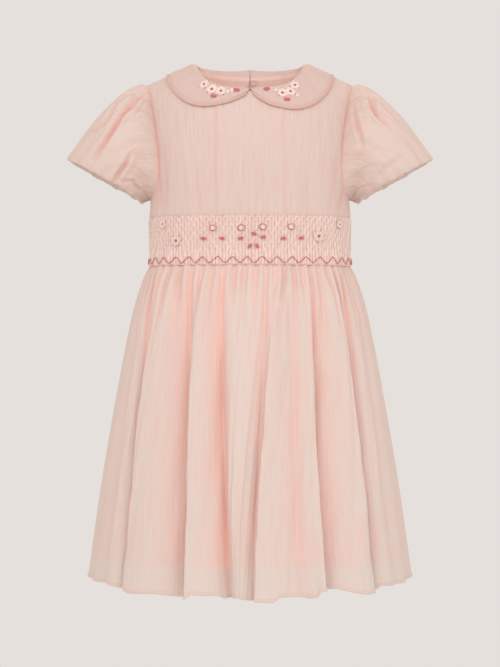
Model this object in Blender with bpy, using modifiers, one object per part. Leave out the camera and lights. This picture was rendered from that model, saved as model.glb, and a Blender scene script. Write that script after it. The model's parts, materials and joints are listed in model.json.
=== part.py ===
"""A girl's party dress: round collar, puff sleeves, smocked waist and a full gathered skirt.

The dress keeps the shape it has when it is worn.  +Z is up, the front faces -Y, and the origin
lies between the shoulders, level with the two points where the collar crosses them.
Tables and sizes are in millimetres; MM turns them into metres where a mesh is made.
"""
import math
from collections import namedtuple

import bmesh
import bpy
from mathutils import Vector

MM = 0.001

FRONT = -1
BACK = 1

# Cloth walls and the space left between pieces
SEAM_INSET = 0.17
ARMHOLE_INSET = 0.4
SHOULDER_INSET = 0.6
LAYER_GAP = 0.35
BODICE_WALL = 1.4
SLEEVE_WALL = 1.2
SKIRT_WALL = 1.2
LINING_WALL = 1.0
BAND_WALL = 1.8
COLLAR_WALL = 1.5
PLACKET_WALL = 1.2
BINDING_WALL = 1.0

# Heights of the main seams
WAIST_TOP = -185.5
WAIST_BOTTOM = -241.5
SHOULDER_TIP_X = 123.0
NECK_POINT_X = 68.0
NECK_CURVE_X = 64.0
SHOULDER_SLOPE = 0.432

# The upper body: over the shoulder, the front and the back each curve through this height
SHOULDER_ROUND = {FRONT: 150.0, BACK: 80.0}
BODY_ROUNDNESS = 2.5

Torso = namedtuple("Torso", "height half_width depth_front depth_back")
TORSO = (
    Torso(-242.0, 120.0, 83.0, 80.0),
    Torso(-213.0, 119.0, 81.0, 77.0),
    Torso(-185.0, 119.5, 82.0, 78.0),
    Torso(-161.5, 117.8, 82.0, 78.0),
    Torso(-130.0, 118.5, 82.0, 78.0),
    Torso(-90.0, 120.5, 81.5, 77.0),
    Torso(-60.0, 122.5, 81.0, 76.0),
    Torso(-25.0, 125.5, 80.0, 76.0),
    Torso(15.0, 126.5, 80.0, 76.0),
)

# The armhole seam from the shoulder tip (0 degrees) down to the underarm (180 degrees)
Armhole = namedtuple("Armhole", "turn x height")
ARMHOLE = (
    Armhole(0, 123.0, -25.5),
    Armhole(20, 119.0, -38.0),
    Armhole(45, 114.5, -60.0),
    Armhole(73, 110.0, -86.0),
    Armhole(99, 107.5, -112.0),
    Armhole(121, 107.5, -134.0),
    Armhole(139, 111.0, -151.0),
    Armhole(154, 115.0, -159.0),
    Armhole(168, 117.0, -161.2),
    Armhole(180, 117.8, -161.5),
)

# A bodice half is blended between its edges, of which the neck takes this share of the top one
# and the armhole this many rows of the outer one.  Then its places are evened out in so many
# steps, in which a turn of one radian counts as long as TURN_REACH.
NECK_SHARE = 0.6
BODICE_COLUMNS = 10
BODICE_ROWS = 11
ARMHOLE_ROWS = 9
EVENING_STEPS = 60
TURN_REACH = 100.0

# The neck seam from the shoulder (0 degrees) to the centre line (90 degrees)
Neck = namedtuple("Neck", "turn x height")
NECK_FRONT = (
    Neck(0, 68.0, -1.73),
    Neck(15, 65.5, -10.0),
    Neck(30, 58.5, -20.5),
    Neck(50, 44.0, -31.0),
    Neck(70, 24.0, -36.5),
    Neck(90, 0.0, -38.0),
)
NECK_BACK = (
    Neck(0, 68.0, -1.73),
    Neck(15, 65.0, -2.3),
    Neck(30, 58.0, -4.5),
    Neck(50, 43.0, -7.0),
    Neck(70, 22.0, -8.6),
    Neck(90, 0.0, -9.0),
)
NECK_TABLE = {FRONT: NECK_FRONT, BACK: NECK_BACK}

# The collar's outer edge, front and back, by the same turn as the neck seam
Collar = namedtuple("Collar", "turn x height_left height_right")
COLLAR_FRONT = (
    Collar(0, 97.5, -14.5, -14.5),
    Collar(14, 93.5, -29.5, -27.5),
    Collar(28, 84.5, -43.5, -41.0),
    Collar(42, 70.0, -55.5, -52.5),
    Collar(58, 50.0, -60.5, -57.0),
    Collar(72, 26.0, -56.5, -53.0),
    Collar(82, 11.5, -49.0, -47.0),
    Collar(90, 4.4, -42.5, -42.5),
)
COLLAR_BACK = (
    Collar(0, 97.5, -14.5, -14.5),
    Collar(14, 95.0, -24.0, -24.0),
    Collar(30, 86.0, -36.0, -36.0),
    Collar(48, 66.0, -45.0, -45.0),
    Collar(66, 38.0, -50.0, -50.0),
    Collar(79, 14.0, -49.0, -49.0),
    Collar(86, 6.2, -42.0, -42.0),
    Collar(90, 4.4, -32.0, -32.0),
)
COLLAR_TABLE = {FRONT: COLLAR_FRONT, BACK: COLLAR_BACK}
COLLAR_CLEAR = 1.0
COLLAR_CENTRE_X = 0.7
COLLAR_COLUMNS = 13
COLLAR_CROWDING = 1.3
COLLAR_SHARES = (0.0, 0.12, 0.4, 0.7, 1.0)

# The collar's roll at the centre front, at the centre back and at the shoulders, and how much
# it also stands up there; both end at this share of the collar.  The stand is the edge that
# turns down inside the neck, which reaches further in at the shoulders.
COLLAR_ROLL = {FRONT: 2.5, BACK: 3.0}
COLLAR_RISE = {FRONT: 0.0, BACK: 9.0}
SHOULDER_ROLL = 0.3
ROLL_REACH = 0.4
STAND_REACH = 2.2
SHOULDER_STAND = 5.5
SHOULDER_STAND_TURN = 60.0
STAND_DROP = 0.6
STAND_PULL = 0.3
STAND_STEP = 0.08

PIPING_RADIUS = 1.15
PIPING_GAP = 0.5

# The sleeve as rings from the armhole to its turned-under hem: each ring's highest point (top)
# and lowest point (under), and how far it reaches to the front and the back between them
Sleeve = namedtuple("Sleeve", "ring top_x top_z under_x under_z front back gather")
SLEEVE = (
    Sleeve(0, 123.0, -25.5, 117.8, -161.5, 43.0, 39.0, 0.2),
    Sleeve(1, 131.0, -26.5, 119.3, -162.2, 50.0, 46.0, 1.9),
    Sleeve(2, 144.5, -31.5, 120.8, -162.8, 56.0, 52.0, 1.9),
    Sleeve(3, 159.0, -41.5, 122.0, -163.3, 60.0, 56.0, 1.1),
    Sleeve(4, 174.0, -55.5, 123.2, -163.8, 62.5, 58.0, 0.5),
    Sleeve(5, 190.0, -74.0, 124.4, -164.3, 63.0, 59.0, 0.5),
    Sleeve(6, 204.0, -94.0, 125.6, -164.8, 62.0, 58.0, 1.2),
    Sleeve(7, 216.0, -113.5, 127.0, -165.2, 59.0, 55.0, 1.9),
    Sleeve(8, 208.0, -116.5, 133.0, -159.5, 50.0, 47.0, 1.9),
    Sleeve(9, 200.0, -115.0, 134.0, -148.0, 37.5, 37.5, 0.5),
)
SLEEVE_COLUMNS = 36
SLEEVE_GATHERS = 18
SLEEVE_JOIN_RINGS = 3.0
SLEEVE_BAND_RISE = (-1.0, 9.0)
SLEEVE_BAND_INSIDE = 2.2

# Deep folds of each sleeve, from one place (turn, ring) to another.  A fold fades at its ends:
# it starts at this share of a half wave and covers this much of it.
Trough = namedtuple("Trough", "turn_start ring_start turn_end ring_end width depth")
SLEEVE_TROUGHS = {
    "right": (Trough(52, 0.5, 44, 6.0, 11.0, 5.0), Trough(96, 3.0, 112, 7.0, 9.0, 4.0)),
    "left": (Trough(30, 0.6, 40, 5.0, 9.0, 5.0), Trough(75, 0.5, 118, 3.5, 9.0, 4.0)),
}
TROUGH_RINGS = (0.4, 7.5)
TROUGH_WAVE_START = 0.12
TROUGH_WAVE_SPAN = 0.8

# The skirt's outer envelope at distances down from the waist seam
Skirt = namedtuple("Skirt", "drop half_width depth_front depth_back roundness folds gathers")
SKIRT = (
    Skirt(0, 120.0, 83.0, 80.0, 2.50, 0.00, 1.2),
    Skirt(8, 124.5, 88.0, 85.0, 2.45, 0.03, 3.2),
    Skirt(20, 129.5, 94.0, 91.0, 2.40, 0.10, 4.2),
    Skirt(45, 137.5, 102.0, 99.0, 2.35, 0.26, 3.8),
    Skirt(85, 146.5, 111.0, 108.0, 2.30, 0.50, 2.4),
    Skirt(140, 157.0, 122.0, 119.0, 2.25, 0.75, 1.0),
    Skirt(250, 176.0, 140.5, 137.5, 2.18, 0.95, 0.0),
    Skirt(368, 193.0, 158.0, 156.0, 2.10, 1.00, 0.0),
)
SKIRT_LENGTH = 368.0
SKIRT_MIDDLE = 165.0
HEM_DROP = {FRONT: 9.0, BACK: 4.0}
GATHER_COLUMNS = 4
SEAM_COLUMNS = 1.5

# Each row is one fold, in order across the panel as seen from outside, and tells where the
# valley after it runs: at the waist, half way down and at the hem.  The last row ends at the
# side seam.  A lean below zero tips the fold towards the row before it.
Fold = namedtuple("Fold", "gathers waist middle hem depth lean")
FRONT_FOLDS = (
    Fold(1.5, -118.8, -157.9, -187.5, 11.0, 0.00),
    Fold(1.0, -115.3, -147.7, -171.4, 9.0, -0.20),
    Fold(2.0, -109.0, -131.0, -146.0, 17.0, -0.10),
    Fold(4.0, -67.5, -72.0, -73.0, 24.0, -0.46),
    Fold(3.0, -31.0, -33.0, -23.0, 27.0, -0.48),
    Fold(4.0, 19.0, 13.0, 3.0, 15.0, -0.15),
    Fold(3.0, 50.0, 53.0, 64.5, 13.0, -0.42),
    Fold(2.0, 69.0, 75.0, 85.5, 22.0, 0.22),
    Fold(4.0, 103.5, 126.0, 145.0, 19.0, 0.42),
    Fold(2.0, 112.6, 145.5, 171.4, 9.0, 0.20),
    Fold(1.0, 118.2, 157.3, 187.5, 11.0, 0.00),
    Fold(1.5, 120.0, 161.0, 193.0, 0.0, 0.00),
)
BACK_FOLDS = (
    Fold(1.5, -118.4, -157.0, -187.1, 11.0, 0.00),
    Fold(1.0, -112.9, -144.3, -169.1, 9.0, -0.20),
    Fold(2.0, -104.0, -124.0, -140.0, 17.0, -0.10),
    Fold(3.0, -64.0, -72.0, -82.0, 22.0, -0.40),
    Fold(3.0, -27.0, -30.0, -31.0, 25.0, -0.44),
    Fold(3.0, 8.0, 6.0, 4.0, 19.0, -0.20),
    Fold(3.0, 40.0, 47.0, 52.0, 24.0, 0.30),
    Fold(3.0, 73.0, 84.0, 95.0, 20.0, 0.42),
    Fold(3.0, 105.0, 128.0, 148.0, 17.0, 0.34),
    Fold(2.0, 113.3, 146.1, 172.2, 9.0, 0.20),
    Fold(1.0, 118.4, 157.6, 187.5, 11.0, 0.00),
    Fold(1.5, 120.0, 161.0, 193.0, 0.0, 0.00),
)
FOLD_TABLE = {FRONT: FRONT_FOLDS, BACK: BACK_FOLDS}

LINING_DROPS = (0.0, 20.0, 85.0, 190.0, 333.0)
LINING_COLUMNS = 36
LINING_CLEAR = 1.5
LINING_FOLD_REACH = 30.0

# The back of the waistband is plain, and its front is smocked
BAND_COLUMNS = 12
BAND_ROWS = 2
SMOCK_PLEATS = 50
SMOCK_RELIEF = 0.9
SMOCK_SHIFT = 0.25
SMOCK_ROWS = (0.0, 0.33, 0.67, 1.0)

# Back closing
PLACKET_HALF_WIDTH = 9.0
PLACKET_TOP = -53.0
PLACKET_FOOT = 1.0
PLACKET_ROWS = 14
BUTTON_RADIUS = 5.5
BUTTON_TAPER = 0.93
BUTTON_SIDES = 16
BUTTON_THICKNESS = 2.4
BUTTON_HEIGHTS = (-72.0, -112.0, -152.0, -212.0)

# The binding inside the back neck, between two shares of the collar's width
BINDING_SHARES = (0.03, 0.22)
BINDING_CLEAR = 2.3
BINDING_START = 38.0
BINDING_COLUMNS = 10

SHARP_ANGLE = 50.0

Finish = namedtuple("Finish", "colour roughness")
FINISHES = {
    "cloth": Finish((0.80, 0.56, 0.49, 1.0), 0.80),
    "collar": Finish((0.76, 0.50, 0.43, 1.0), 0.78),
    "piping": Finish((0.82, 0.56, 0.48, 1.0), 0.60),
    "smocking": Finish((0.80, 0.55, 0.48, 1.0), 0.80),
    "lining": Finish((0.72, 0.38, 0.31, 1.0), 0.70),
    "button": Finish((0.86, 0.66, 0.60, 1.0), 0.35),
}


def clear_scene():
    for item in list(bpy.data.objects):
        bpy.data.objects.remove(item, do_unlink=True)


def value_at(table, column, place):
    """A column's value at a place along the table's first column, on a smooth curve."""
    keys = [row[0] for row in table]
    values = [getattr(row, column) for row in table]
    if place <= keys[0]:
        return values[0]
    if place >= keys[-1]:
        return values[-1]
    i = max(k for k in range(len(keys) - 1) if keys[k] <= place)

    def slope(k):
        low = max(k - 1, 0)
        high = min(k + 1, len(keys) - 1)
        return (values[high] - values[low]) / (keys[high] - keys[low])

    span = keys[i + 1] - keys[i]
    t = (place - keys[i]) / span
    start = (2 * t ** 3 - 3 * t ** 2 + 1) * values[i] + (t ** 3 - 2 * t ** 2 + t) * span * slope(i)
    end = (3 * t ** 2 - 2 * t ** 3) * values[i + 1] + (t ** 3 - t ** 2) * span * slope(i + 1)
    return start + end


def mix(a, b, t):
    return a + (b - a) * t


def oval(half_width, depth, roundness, turn):
    """A point of an oval, where turn runs from -90 degrees over the middle to 90 degrees."""
    across = math.sin(turn)
    outward = max(math.cos(turn), 0.0)
    size = (abs(across) ** roundness + outward ** roundness) ** (1.0 / roundness)
    return half_width * across / size, depth * outward / size


def oval_turn(fraction, roundness):
    """The turn at which an oval reaches this fraction of its half width."""
    across = min(abs(fraction), 1.0)
    outward = (1.0 - across ** roundness) ** (1.0 / roundness)
    return math.copysign(math.atan2(across, outward), fraction)


def shoulder_height(x):
    """Height of the shoulder line, which runs on as a smooth crest across the neck."""
    if abs(x) > NECK_CURVE_X:
        return SHOULDER_SLOPE * (NECK_CURVE_X - abs(x))
    return SHOULDER_SLOPE * (NECK_CURVE_X - x * x / NECK_CURVE_X) / 2.0


def body_depth(side, height):
    return value_at(TORSO, "depth_front" if side == FRONT else "depth_back", height)


def body_point(side, turn, over):
    """A point of the body's surface: turn goes round it and over goes down from the shoulder."""
    fall = SHOULDER_ROUND[side] * (1.0 - math.cos(min(over, math.pi / 2)))
    fall += SHOULDER_ROUND[side] * max(over - math.pi / 2, 0.0)
    x = NECK_CURVE_X
    height = shoulder_height(x) - fall
    depth = 0.0
    for _ in range(6):
        half_width = value_at(TORSO, "half_width", height)
        x, depth = oval(half_width, body_depth(side, height), BODY_ROUNDNESS, turn)
        height = shoulder_height(x) - fall
    return Vector((x, side * depth * math.sin(min(over, math.pi / 2)), height))


def body_place(side, x, height):
    """The turn and over at which the body's surface has this x and this height."""
    turn = oval_turn(x / value_at(TORSO, "half_width", height), BODY_ROUNDNESS)
    fall = max(shoulder_height(x) - height, 0.0) / SHOULDER_ROUND[side]
    if fall < 1.0:
        return turn, math.acos(1.0 - fall)
    return turn, math.pi / 2 + fall - 1.0


def body_normal(side, turn, over):
    """The way out of the body at a place on it."""
    step = 0.01
    across = body_point(side, turn + step, over) - body_point(side, turn - step, over)
    low = max(over - step, 0.001)
    down = body_point(side, turn, over + step) - body_point(side, turn, low)
    normal = down.cross(across).normalized()
    return normal if normal.y * side + 0.2 * normal.z > 0 else -normal


def armhole_place(side, turn_degrees, mirror):
    x = value_at(ARMHOLE, "x", turn_degrees)
    turn, over = body_place(side, x, value_at(ARMHOLE, "height", turn_degrees))
    return mirror * turn, over


def neck_place(side, turn_degrees, mirror):
    table = NECK_TABLE[side]
    x = value_at(table, "x", turn_degrees)
    turn, over = body_place(side, x, value_at(table, "height", turn_degrees))
    return mirror * turn, over


def seam_place(side, x, height):
    turn, over = body_place(side, abs(x), height)
    return math.copysign(turn, x), over


def top_place(side, u):
    """Top edge of a bodice half: the shoulder seam from u = 1 down to the neck, then the neck."""
    if u > NECK_SHARE:
        t = (u - NECK_SHARE) / (1.0 - NECK_SHARE)
        x = mix(NECK_POINT_X, SHOULDER_TIP_X, t)
        turn, _ = body_place(side, x, shoulder_height(x))
        return turn, 0.0
    return neck_place(side, 90.0 * (1.0 - u / NECK_SHARE), 1)


def bottom_place(side, u):
    turn = u * math.pi / 2
    x, _ = oval(value_at(TORSO, "half_width", WAIST_TOP), 1.0, BODY_ROUNDNESS, turn)
    return turn, body_place(side, x, WAIST_TOP)[1]


def side_place(side, v):
    """Outer edge of a bodice half: the armhole, then the side seam."""
    armhole_share = ARMHOLE_ROWS / BODICE_ROWS
    if v <= armhole_share:
        return armhole_place(side, 180.0 * v / armhole_share, 1)
    height = mix(ARMHOLE[-1].height, WAIST_TOP, (v - armhole_share) / (1.0 - armhole_share))
    return math.pi / 2, body_place(side, value_at(TORSO, "half_width", height), height)[1]


def centre_place(side, v):
    turn, top = neck_place(side, 90.0, 1)
    return 0.0, mix(top, bottom_place(side, 0.0)[1], v)


def bodice_place(side, u, v):
    """A place on a bodice half, blended between its four edges (u 0 centre, 1 side; v down)."""
    place = []
    for k in range(2):
        across = mix(centre_place(side, v)[k], side_place(side, v)[k], u)
        down = mix(top_place(side, u)[k], bottom_place(side, u)[k], v)
        corners_top = mix(top_place(side, 0.0)[k], top_place(side, 1.0)[k], u)
        corners_low = mix(bottom_place(side, 0.0)[k], bottom_place(side, 1.0)[k], u)
        place.append(across + down - mix(corners_top, corners_low, v))
    return Vector((place[0] * TURN_REACH, place[1] * SHOULDER_ROUND[side]))


def evened(grid):
    """Even out the places inside a grid, so that its rows and columns never fold over."""
    moved = [list(line) for line in grid]
    for i in range(1, len(grid) - 1):
        for j in range(1, len(grid[0]) - 1):
            left, right = grid[i][j - 1], grid[i][j + 1]
            above, below = grid[i - 1][j], grid[i + 1][j]
            skew = grid[i + 1][j + 1] - grid[i + 1][j - 1] - grid[i - 1][j + 1] + grid[i - 1][j - 1]
            across = (right - left) / 2.0
            down = (below - above) / 2.0
            total = (left + right) * down.length_squared + (above + below) * across.length_squared
            total -= skew * (across.dot(down) / 2.0)
            moved[i][j] = total / (2.0 * (across.length_squared + down.length_squared))
    return moved


def bodice_half(side):
    """Rows of points of a bodice half on the +X side, from the centre line to the outer edge."""
    places = []
    for i in range(BODICE_ROWS + 1):
        v = i / BODICE_ROWS
        columns = range(BODICE_COLUMNS + 1)
        places.append([bodice_place(side, j / BODICE_COLUMNS, v) for j in columns])
    for _ in range(EVENING_STEPS):
        places = evened(places)
    grid = []
    for line in places:
        turns = [(place.x / TURN_REACH, place.y / SHOULDER_ROUND[side]) for place in line]
        grid.append([body_point(side, turn, over) for turn, over in turns])
    return grid


def mirrored(line):
    return [Vector((-point.x, point.y, point.z)) for point in line]


def inset_edges(grid, top=0.0, bottom=0.0, left=0.0, right=0.0):
    """Pull the edges of a grid of points in towards their neighbours."""
    for edge, neighbour, amount in ((0, 1, top), (-1, -2, bottom)):
        for point, inner in zip(grid[edge], grid[neighbour]):
            if (inner - point).length > amount:
                point += (inner - point).normalized() * amount
    for edge, neighbour, amount in ((0, 1, left), (-1, -2, right)):
        for line in grid:
            line[edge] += (line[neighbour] - line[edge]).normalized() * amount
    return grid


def material(finish_name):
    """The material of one finish, made once and shared."""
    if finish_name in bpy.data.materials:
        return bpy.data.materials[finish_name]
    finish = FINISHES[finish_name]
    made = bpy.data.materials.new(finish_name)
    made.use_nodes = True
    shader = made.node_tree.nodes["Principled BSDF"]
    shader.inputs["Base Color"].default_value = finish.colour
    shader.inputs["Roughness"].default_value = finish.roughness
    shader.inputs["Metallic"].default_value = 0.0
    return made


def add_object(name, mesh, collection, finish_name):
    mesh.materials.append(material(finish_name))
    made = bpy.data.objects.new(name, mesh)
    collection.objects.link(made)
    return made


def grid_faces(bm, verts, closed, flip=False):
    """Quads between neighbouring rows of vertices."""
    columns = len(verts[0])
    for upper, lower in zip(verts, verts[1:]):
        for j in range(columns if closed else columns - 1):
            k = (j + 1) % columns
            corners = [upper[j], lower[j], lower[k], upper[k]]
            bm.faces.new(corners[::-1] if flip else corners)


def smooth_mesh(bm, name):
    mesh = bpy.data.meshes.new(name)
    bm.to_mesh(mesh)
    bm.free()
    mesh.shade_smooth()
    mesh.set_sharp_from_angle(angle=math.radians(SHARP_ANGLE))
    return mesh


def cloth_panel(name, grid, wall, collection, finish_name, closed=False):
    """A sheet through rows of points, made into a wall towards the inside."""
    bm = bmesh.new()
    verts = [[bm.verts.new(point * MM) for point in line] for line in grid]
    grid_faces(bm, verts, closed)
    made = add_object(name, smooth_mesh(bm, name), collection, finish_name)
    thicken = made.modifiers.new("Wall", "SOLIDIFY")
    thicken.thickness = wall * MM
    thicken.offset = -1.0
    return made


def raised_panel(name, outer, inner, collection, finish_name):
    """A wall whose outer points are raised and whose inside stays plain."""
    bm = bmesh.new()
    outside = [[bm.verts.new(point * MM) for point in line] for line in outer]
    inside = [[bm.verts.new(point * MM) for point in line] for line in inner]
    grid_faces(bm, outside, closed=False)
    grid_faces(bm, inside, closed=False, flip=True)
    edges = (
        (outside[0], inside[0], False),
        (outside[-1], inside[-1], True),
        ([line[0] for line in outside], [line[0] for line in inside], True),
        ([line[-1] for line in outside], [line[-1] for line in inside], False),
    )
    for outer_line, inner_line, flip in edges:
        grid_faces(bm, [inner_line, outer_line], closed=False, flip=flip)
    return add_object(name, smooth_mesh(bm, name), collection, finish_name)


def make_bodice(collection):
    front = [mirrored(line[:0:-1]) + line for line in bodice_half(FRONT)]
    inset_edges(front, SHOULDER_INSET, SEAM_INSET, ARMHOLE_INSET, ARMHOLE_INSET)
    cloth_panel("bodice_front", front, BODICE_WALL, collection, "cloth")
    left = [line[::-1] for line in bodice_half(BACK)]
    inset_edges(left, SHOULDER_INSET, SEAM_INSET, ARMHOLE_INSET, SEAM_INSET)
    cloth_panel("bodice_back_left", left, BODICE_WALL, collection, "cloth")
    right = [mirrored(line[::-1]) for line in left]
    cloth_panel("bodice_back_right", right, BODICE_WALL, collection, "cloth")


def armhole_point(turn):
    """A point of the armhole ring on the +X side, from the shoulder round by the front.

    It runs straight between the bodice's own points, so that the two edges follow each other.
    """
    degrees = math.degrees(turn) % 360.0
    side = FRONT if degrees <= 180.0 else BACK
    rows = min(degrees, 360.0 - degrees) / 180.0 * ARMHOLE_ROWS
    upper = min(int(rows + 1e-6), ARMHOLE_ROWS - 1)
    ends = []
    for row in (upper, upper + 1):
        ends.append(body_point(side, *armhole_place(side, 180.0 * row / ARMHOLE_ROWS, 1)))
    return mix(ends[0], ends[1], rows - upper)


def ring_point(ring, turn):
    """A point of the plain sleeve ring between its highest and lowest points."""
    top = Vector((value_at(SLEEVE, "top_x", ring), 0.0, value_at(SLEEVE, "top_z", ring)))
    under = Vector((value_at(SLEEVE, "under_x", ring), 0.0, value_at(SLEEVE, "under_z", ring)))
    centre = (top + under) / 2.0
    column = "front" if math.sin(turn) >= 0.0 else "back"
    reach = Vector((0.0, -value_at(SLEEVE, column, ring) * math.sin(turn), 0.0))
    return centre, centre + (top - under) / 2.0 * math.cos(turn) + reach


def trough_depth(troughs, point):
    """How deep the sleeve's folds lie at a point, from its distance to each fold's line."""
    depth = 0.0
    for fold in troughs:
        _, start = ring_point(fold.ring_start, math.radians(fold.turn_start))
        _, end = ring_point(fold.ring_end, math.radians(fold.turn_end))
        line = end - start
        t = min(max((point - start).dot(line) / line.length_squared, 0.0), 1.0)
        away = (point - start - line * t).length / fold.width
        fade = math.sin(math.pi * (TROUGH_WAVE_START + TROUGH_WAVE_SPAN * t))
        depth = max(depth, fold.depth * fade * math.exp(-away * away))
    return depth


def sleeve_point(name, ring, turn):
    """A point of the sleeve on the +X side, with its gathers and its deep folds."""
    centre, point = ring_point(ring, turn)
    if ring < SLEEVE_JOIN_RINGS:
        _, plain = ring_point(0.0, turn)
        point += (armhole_point(turn) - plain) * (1.0 - ring / SLEEVE_JOIN_RINGS) ** 2
    out = (point - centre).normalized()
    gather = value_at(SLEEVE, "gather", ring) * abs(math.cos(turn / 2.0))
    push = gather * math.cos(SLEEVE_GATHERS * turn)
    if TROUGH_RINGS[0] < ring < TROUGH_RINGS[1]:
        push -= trough_depth(SLEEVE_TROUGHS[name], point)
    return point + out * push


def make_sleeves(collection):
    turns = [2.0 * math.pi * j / SLEEVE_COLUMNS for j in range(SLEEVE_COLUMNS)]
    for name, mirror in (("left", 1), ("right", -1)):
        grid = []
        for ring in range(len(SLEEVE)):
            line = [sleeve_point(name, ring, turn) for turn in turns]
            grid.append(line[::-1] if mirror > 0 else mirrored(line))
        inset_edges(grid, top=ARMHOLE_INSET)
        cloth_panel("sleeve_" + name, grid, SLEEVE_WALL, collection, "cloth", closed=True)
        band = sleeve_band_grid(mirror)
        cloth_panel("sleeve_band_" + name, band, SLEEVE_WALL, collection, "cloth", closed=True)


def sleeve_band_grid(mirror):
    """The narrow band inside the puff, which the sleeve's hem is gathered to."""
    last = SLEEVE[-1]
    top = Vector((last.top_x, 0.0, last.top_z))
    under = Vector((last.under_x, 0.0, last.under_z))
    up = Vector((0.0, 1.0, 0.0)).cross(top - under).normalized()
    if up.z < 0.0:
        up = -up
    grid = []
    for rise in SLEEVE_BAND_RISE:
        line = []
        for j in range(SLEEVE_COLUMNS):
            turn = 2.0 * math.pi * j / SLEEVE_COLUMNS
            centre, point = ring_point(last.ring, turn)
            point += (centre - point).normalized() * SLEEVE_BAND_INSIDE
            line.append(point + up * rise)
        grid.append(line[::-1] if mirror > 0 else mirrored(line))
    return grid


def collar_edge_place(side, degrees, mirror):
    table = COLLAR_TABLE[side]
    x = value_at(table, "x", degrees)
    column = "height_left" if mirror > 0 else "height_right"
    turn, over = body_place(side, x, value_at(table, column, degrees))
    return mirror * turn, over


def collar_place(side, degrees, share, mirror):
    """A place on a collar half: share 0 at the neck seam and 1 at the outer edge."""
    neck = neck_place(side, degrees, mirror)
    edge = collar_edge_place(side, degrees, mirror)
    turn = mix(neck[0], edge[0], share)
    return mirror * max(abs(turn), 0.0001), mix(neck[1], edge[1], share)


def collar_point(side, degrees, share, lift, mirror):
    turn, over = collar_place(side, degrees, share, mirror)
    point = body_point(side, turn, over) + body_normal(side, turn, over) * lift
    point.x = mirror * max(mirror * point.x, COLLAR_CENTRE_X)
    return point


def collar_turns(count):
    """Turns round the neck from the centre front over the shoulder to the centre back."""
    half = [90.0 * (1.0 - (1.0 - k / count) ** COLLAR_CROWDING) for k in range(count + 1)]
    return [(FRONT, degrees) for degrees in half[::-1]] + [(BACK, degrees) for degrees in half[1:]]


def collar_lift(side, degrees, share):
    """How far the collar lies off the body, and how far it stands up, which end near the neck."""
    near_neck = max(1.0 - share / ROLL_REACH, 0.0) ** 2
    roll = mix(SHOULDER_ROLL, COLLAR_ROLL[side], degrees / 90.0) * near_neck
    return COLLAR_CLEAR + COLLAR_WALL + roll, COLLAR_RISE[side] * degrees / 90.0 * near_neck


def stand_point(side, degrees, mirror):
    """A point of the collar's inner edge, which turns down inside the neck seam."""
    neck = collar_point(side, degrees, 0.0, 0.0, mirror)
    inward = neck - collar_point(side, degrees, STAND_STEP, 0.0, mirror)
    step = Vector((-neck.x, -neck.y, 0.0)).normalized() + inward.normalized()
    reach = mix(SHOULDER_STAND, STAND_REACH, min(degrees / SHOULDER_STAND_TURN, 1.0))
    base = neck + step.normalized() * reach
    base -= body_normal(side, *collar_place(side, degrees, 0.0, mirror)) * STAND_DROP
    base.x = mirror * max(mirror * base.x, COLLAR_CENTRE_X)
    return base


def collar_grid(mirror):
    turns = collar_turns(COLLAR_COLUMNS)
    stand = [stand_point(side, degrees, mirror) for side, degrees in turns]
    grid = [stand]
    for share in COLLAR_SHARES:
        line = []
        for base, (side, degrees) in zip(stand, turns):
            lift, rise = collar_lift(side, degrees, share)
            point = collar_point(side, degrees, share, lift, mirror)
            point.z += rise
            if share == 0.0:
                point = mix(point, base, STAND_PULL)
            line.append(point)
        grid.append(line)
    return grid


def piping_path(mirror):
    """The cord along a collar half's outer edge, just outside it and resting on the bodice."""
    turns = collar_turns(COLLAR_COLUMNS)
    lift = COLLAR_CLEAR + PIPING_RADIUS
    edge = [collar_point(side, degrees, 1.0, lift, mirror) for side, degrees in turns]
    path = []
    for k, (side, degrees) in enumerate(turns):
        along = edge[min(k + 1, len(edge) - 1)] - edge[max(k - 1, 0)]
        normal = body_normal(side, *collar_place(side, degrees, 1.0, mirror))
        out = along.cross(normal) * mirror
        path.append(edge[k] + out.normalized() * (PIPING_RADIUS + PIPING_GAP))
    for point in path:
        point.x = mirror * max(mirror * point.x, PIPING_RADIUS + COLLAR_CENTRE_X)
    return path


def make_collar(collection):
    for name, mirror in (("left", 1), ("right", -1)):
        grid = collar_grid(mirror)
        if mirror < 0:
            grid = [line[::-1] for line in grid]
        cloth_panel("collar_" + name, grid, COLLAR_WALL, collection, "collar")
        add_cord("collar_piping_" + name, piping_path(mirror), collection)


def add_cord(name, path, collection):
    curve = bpy.data.curves.new(name, "CURVE")
    curve.dimensions = "3D"
    curve.bevel_depth = PIPING_RADIUS * MM
    curve.bevel_resolution = 1
    curve.use_fill_caps = True
    spline = curve.splines.new("POLY")
    spline.points.add(len(path) - 1)
    for place, point in zip(spline.points, path):
        place.co = (*(point * MM), 1.0)
    curve.materials.append(material("piping"))
    made = bpy.data.objects.new(name, curve)
    collection.objects.link(made)
    return made


def make_neck_binding(collection):
    """The strip inside the back neck, in two halves that meet at the back opening."""
    for name, mirror in (("left", 1), ("right", -1)):
        grid = []
        for share in BINDING_SHARES:
            line = []
            for k in range(BINDING_COLUMNS + 1):
                degrees = mix(BINDING_START, 90.0, k / BINDING_COLUMNS)
                turn, over = collar_place(BACK, degrees, share, mirror)
                inside = body_normal(BACK, turn, over) * (BODICE_WALL + BINDING_CLEAR)
                point = body_point(BACK, turn, over) - inside
                point.x = mirror * max(mirror * point.x, SEAM_INSET)
                line.append(point)
            grid.append(line if mirror > 0 else line[::-1])
        cloth_panel("neck_binding_" + name, grid, BINDING_WALL, collection, "lining")


def ring_at(height, side, turn, out=0.0):
    """A point of the plain waist section, moved out from it."""
    half_width = value_at(TORSO, "half_width", height)
    x, y = oval(half_width + out, body_depth(side, height) + out, BODY_ROUNDNESS, turn)
    return Vector((x, side * y, height))


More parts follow.
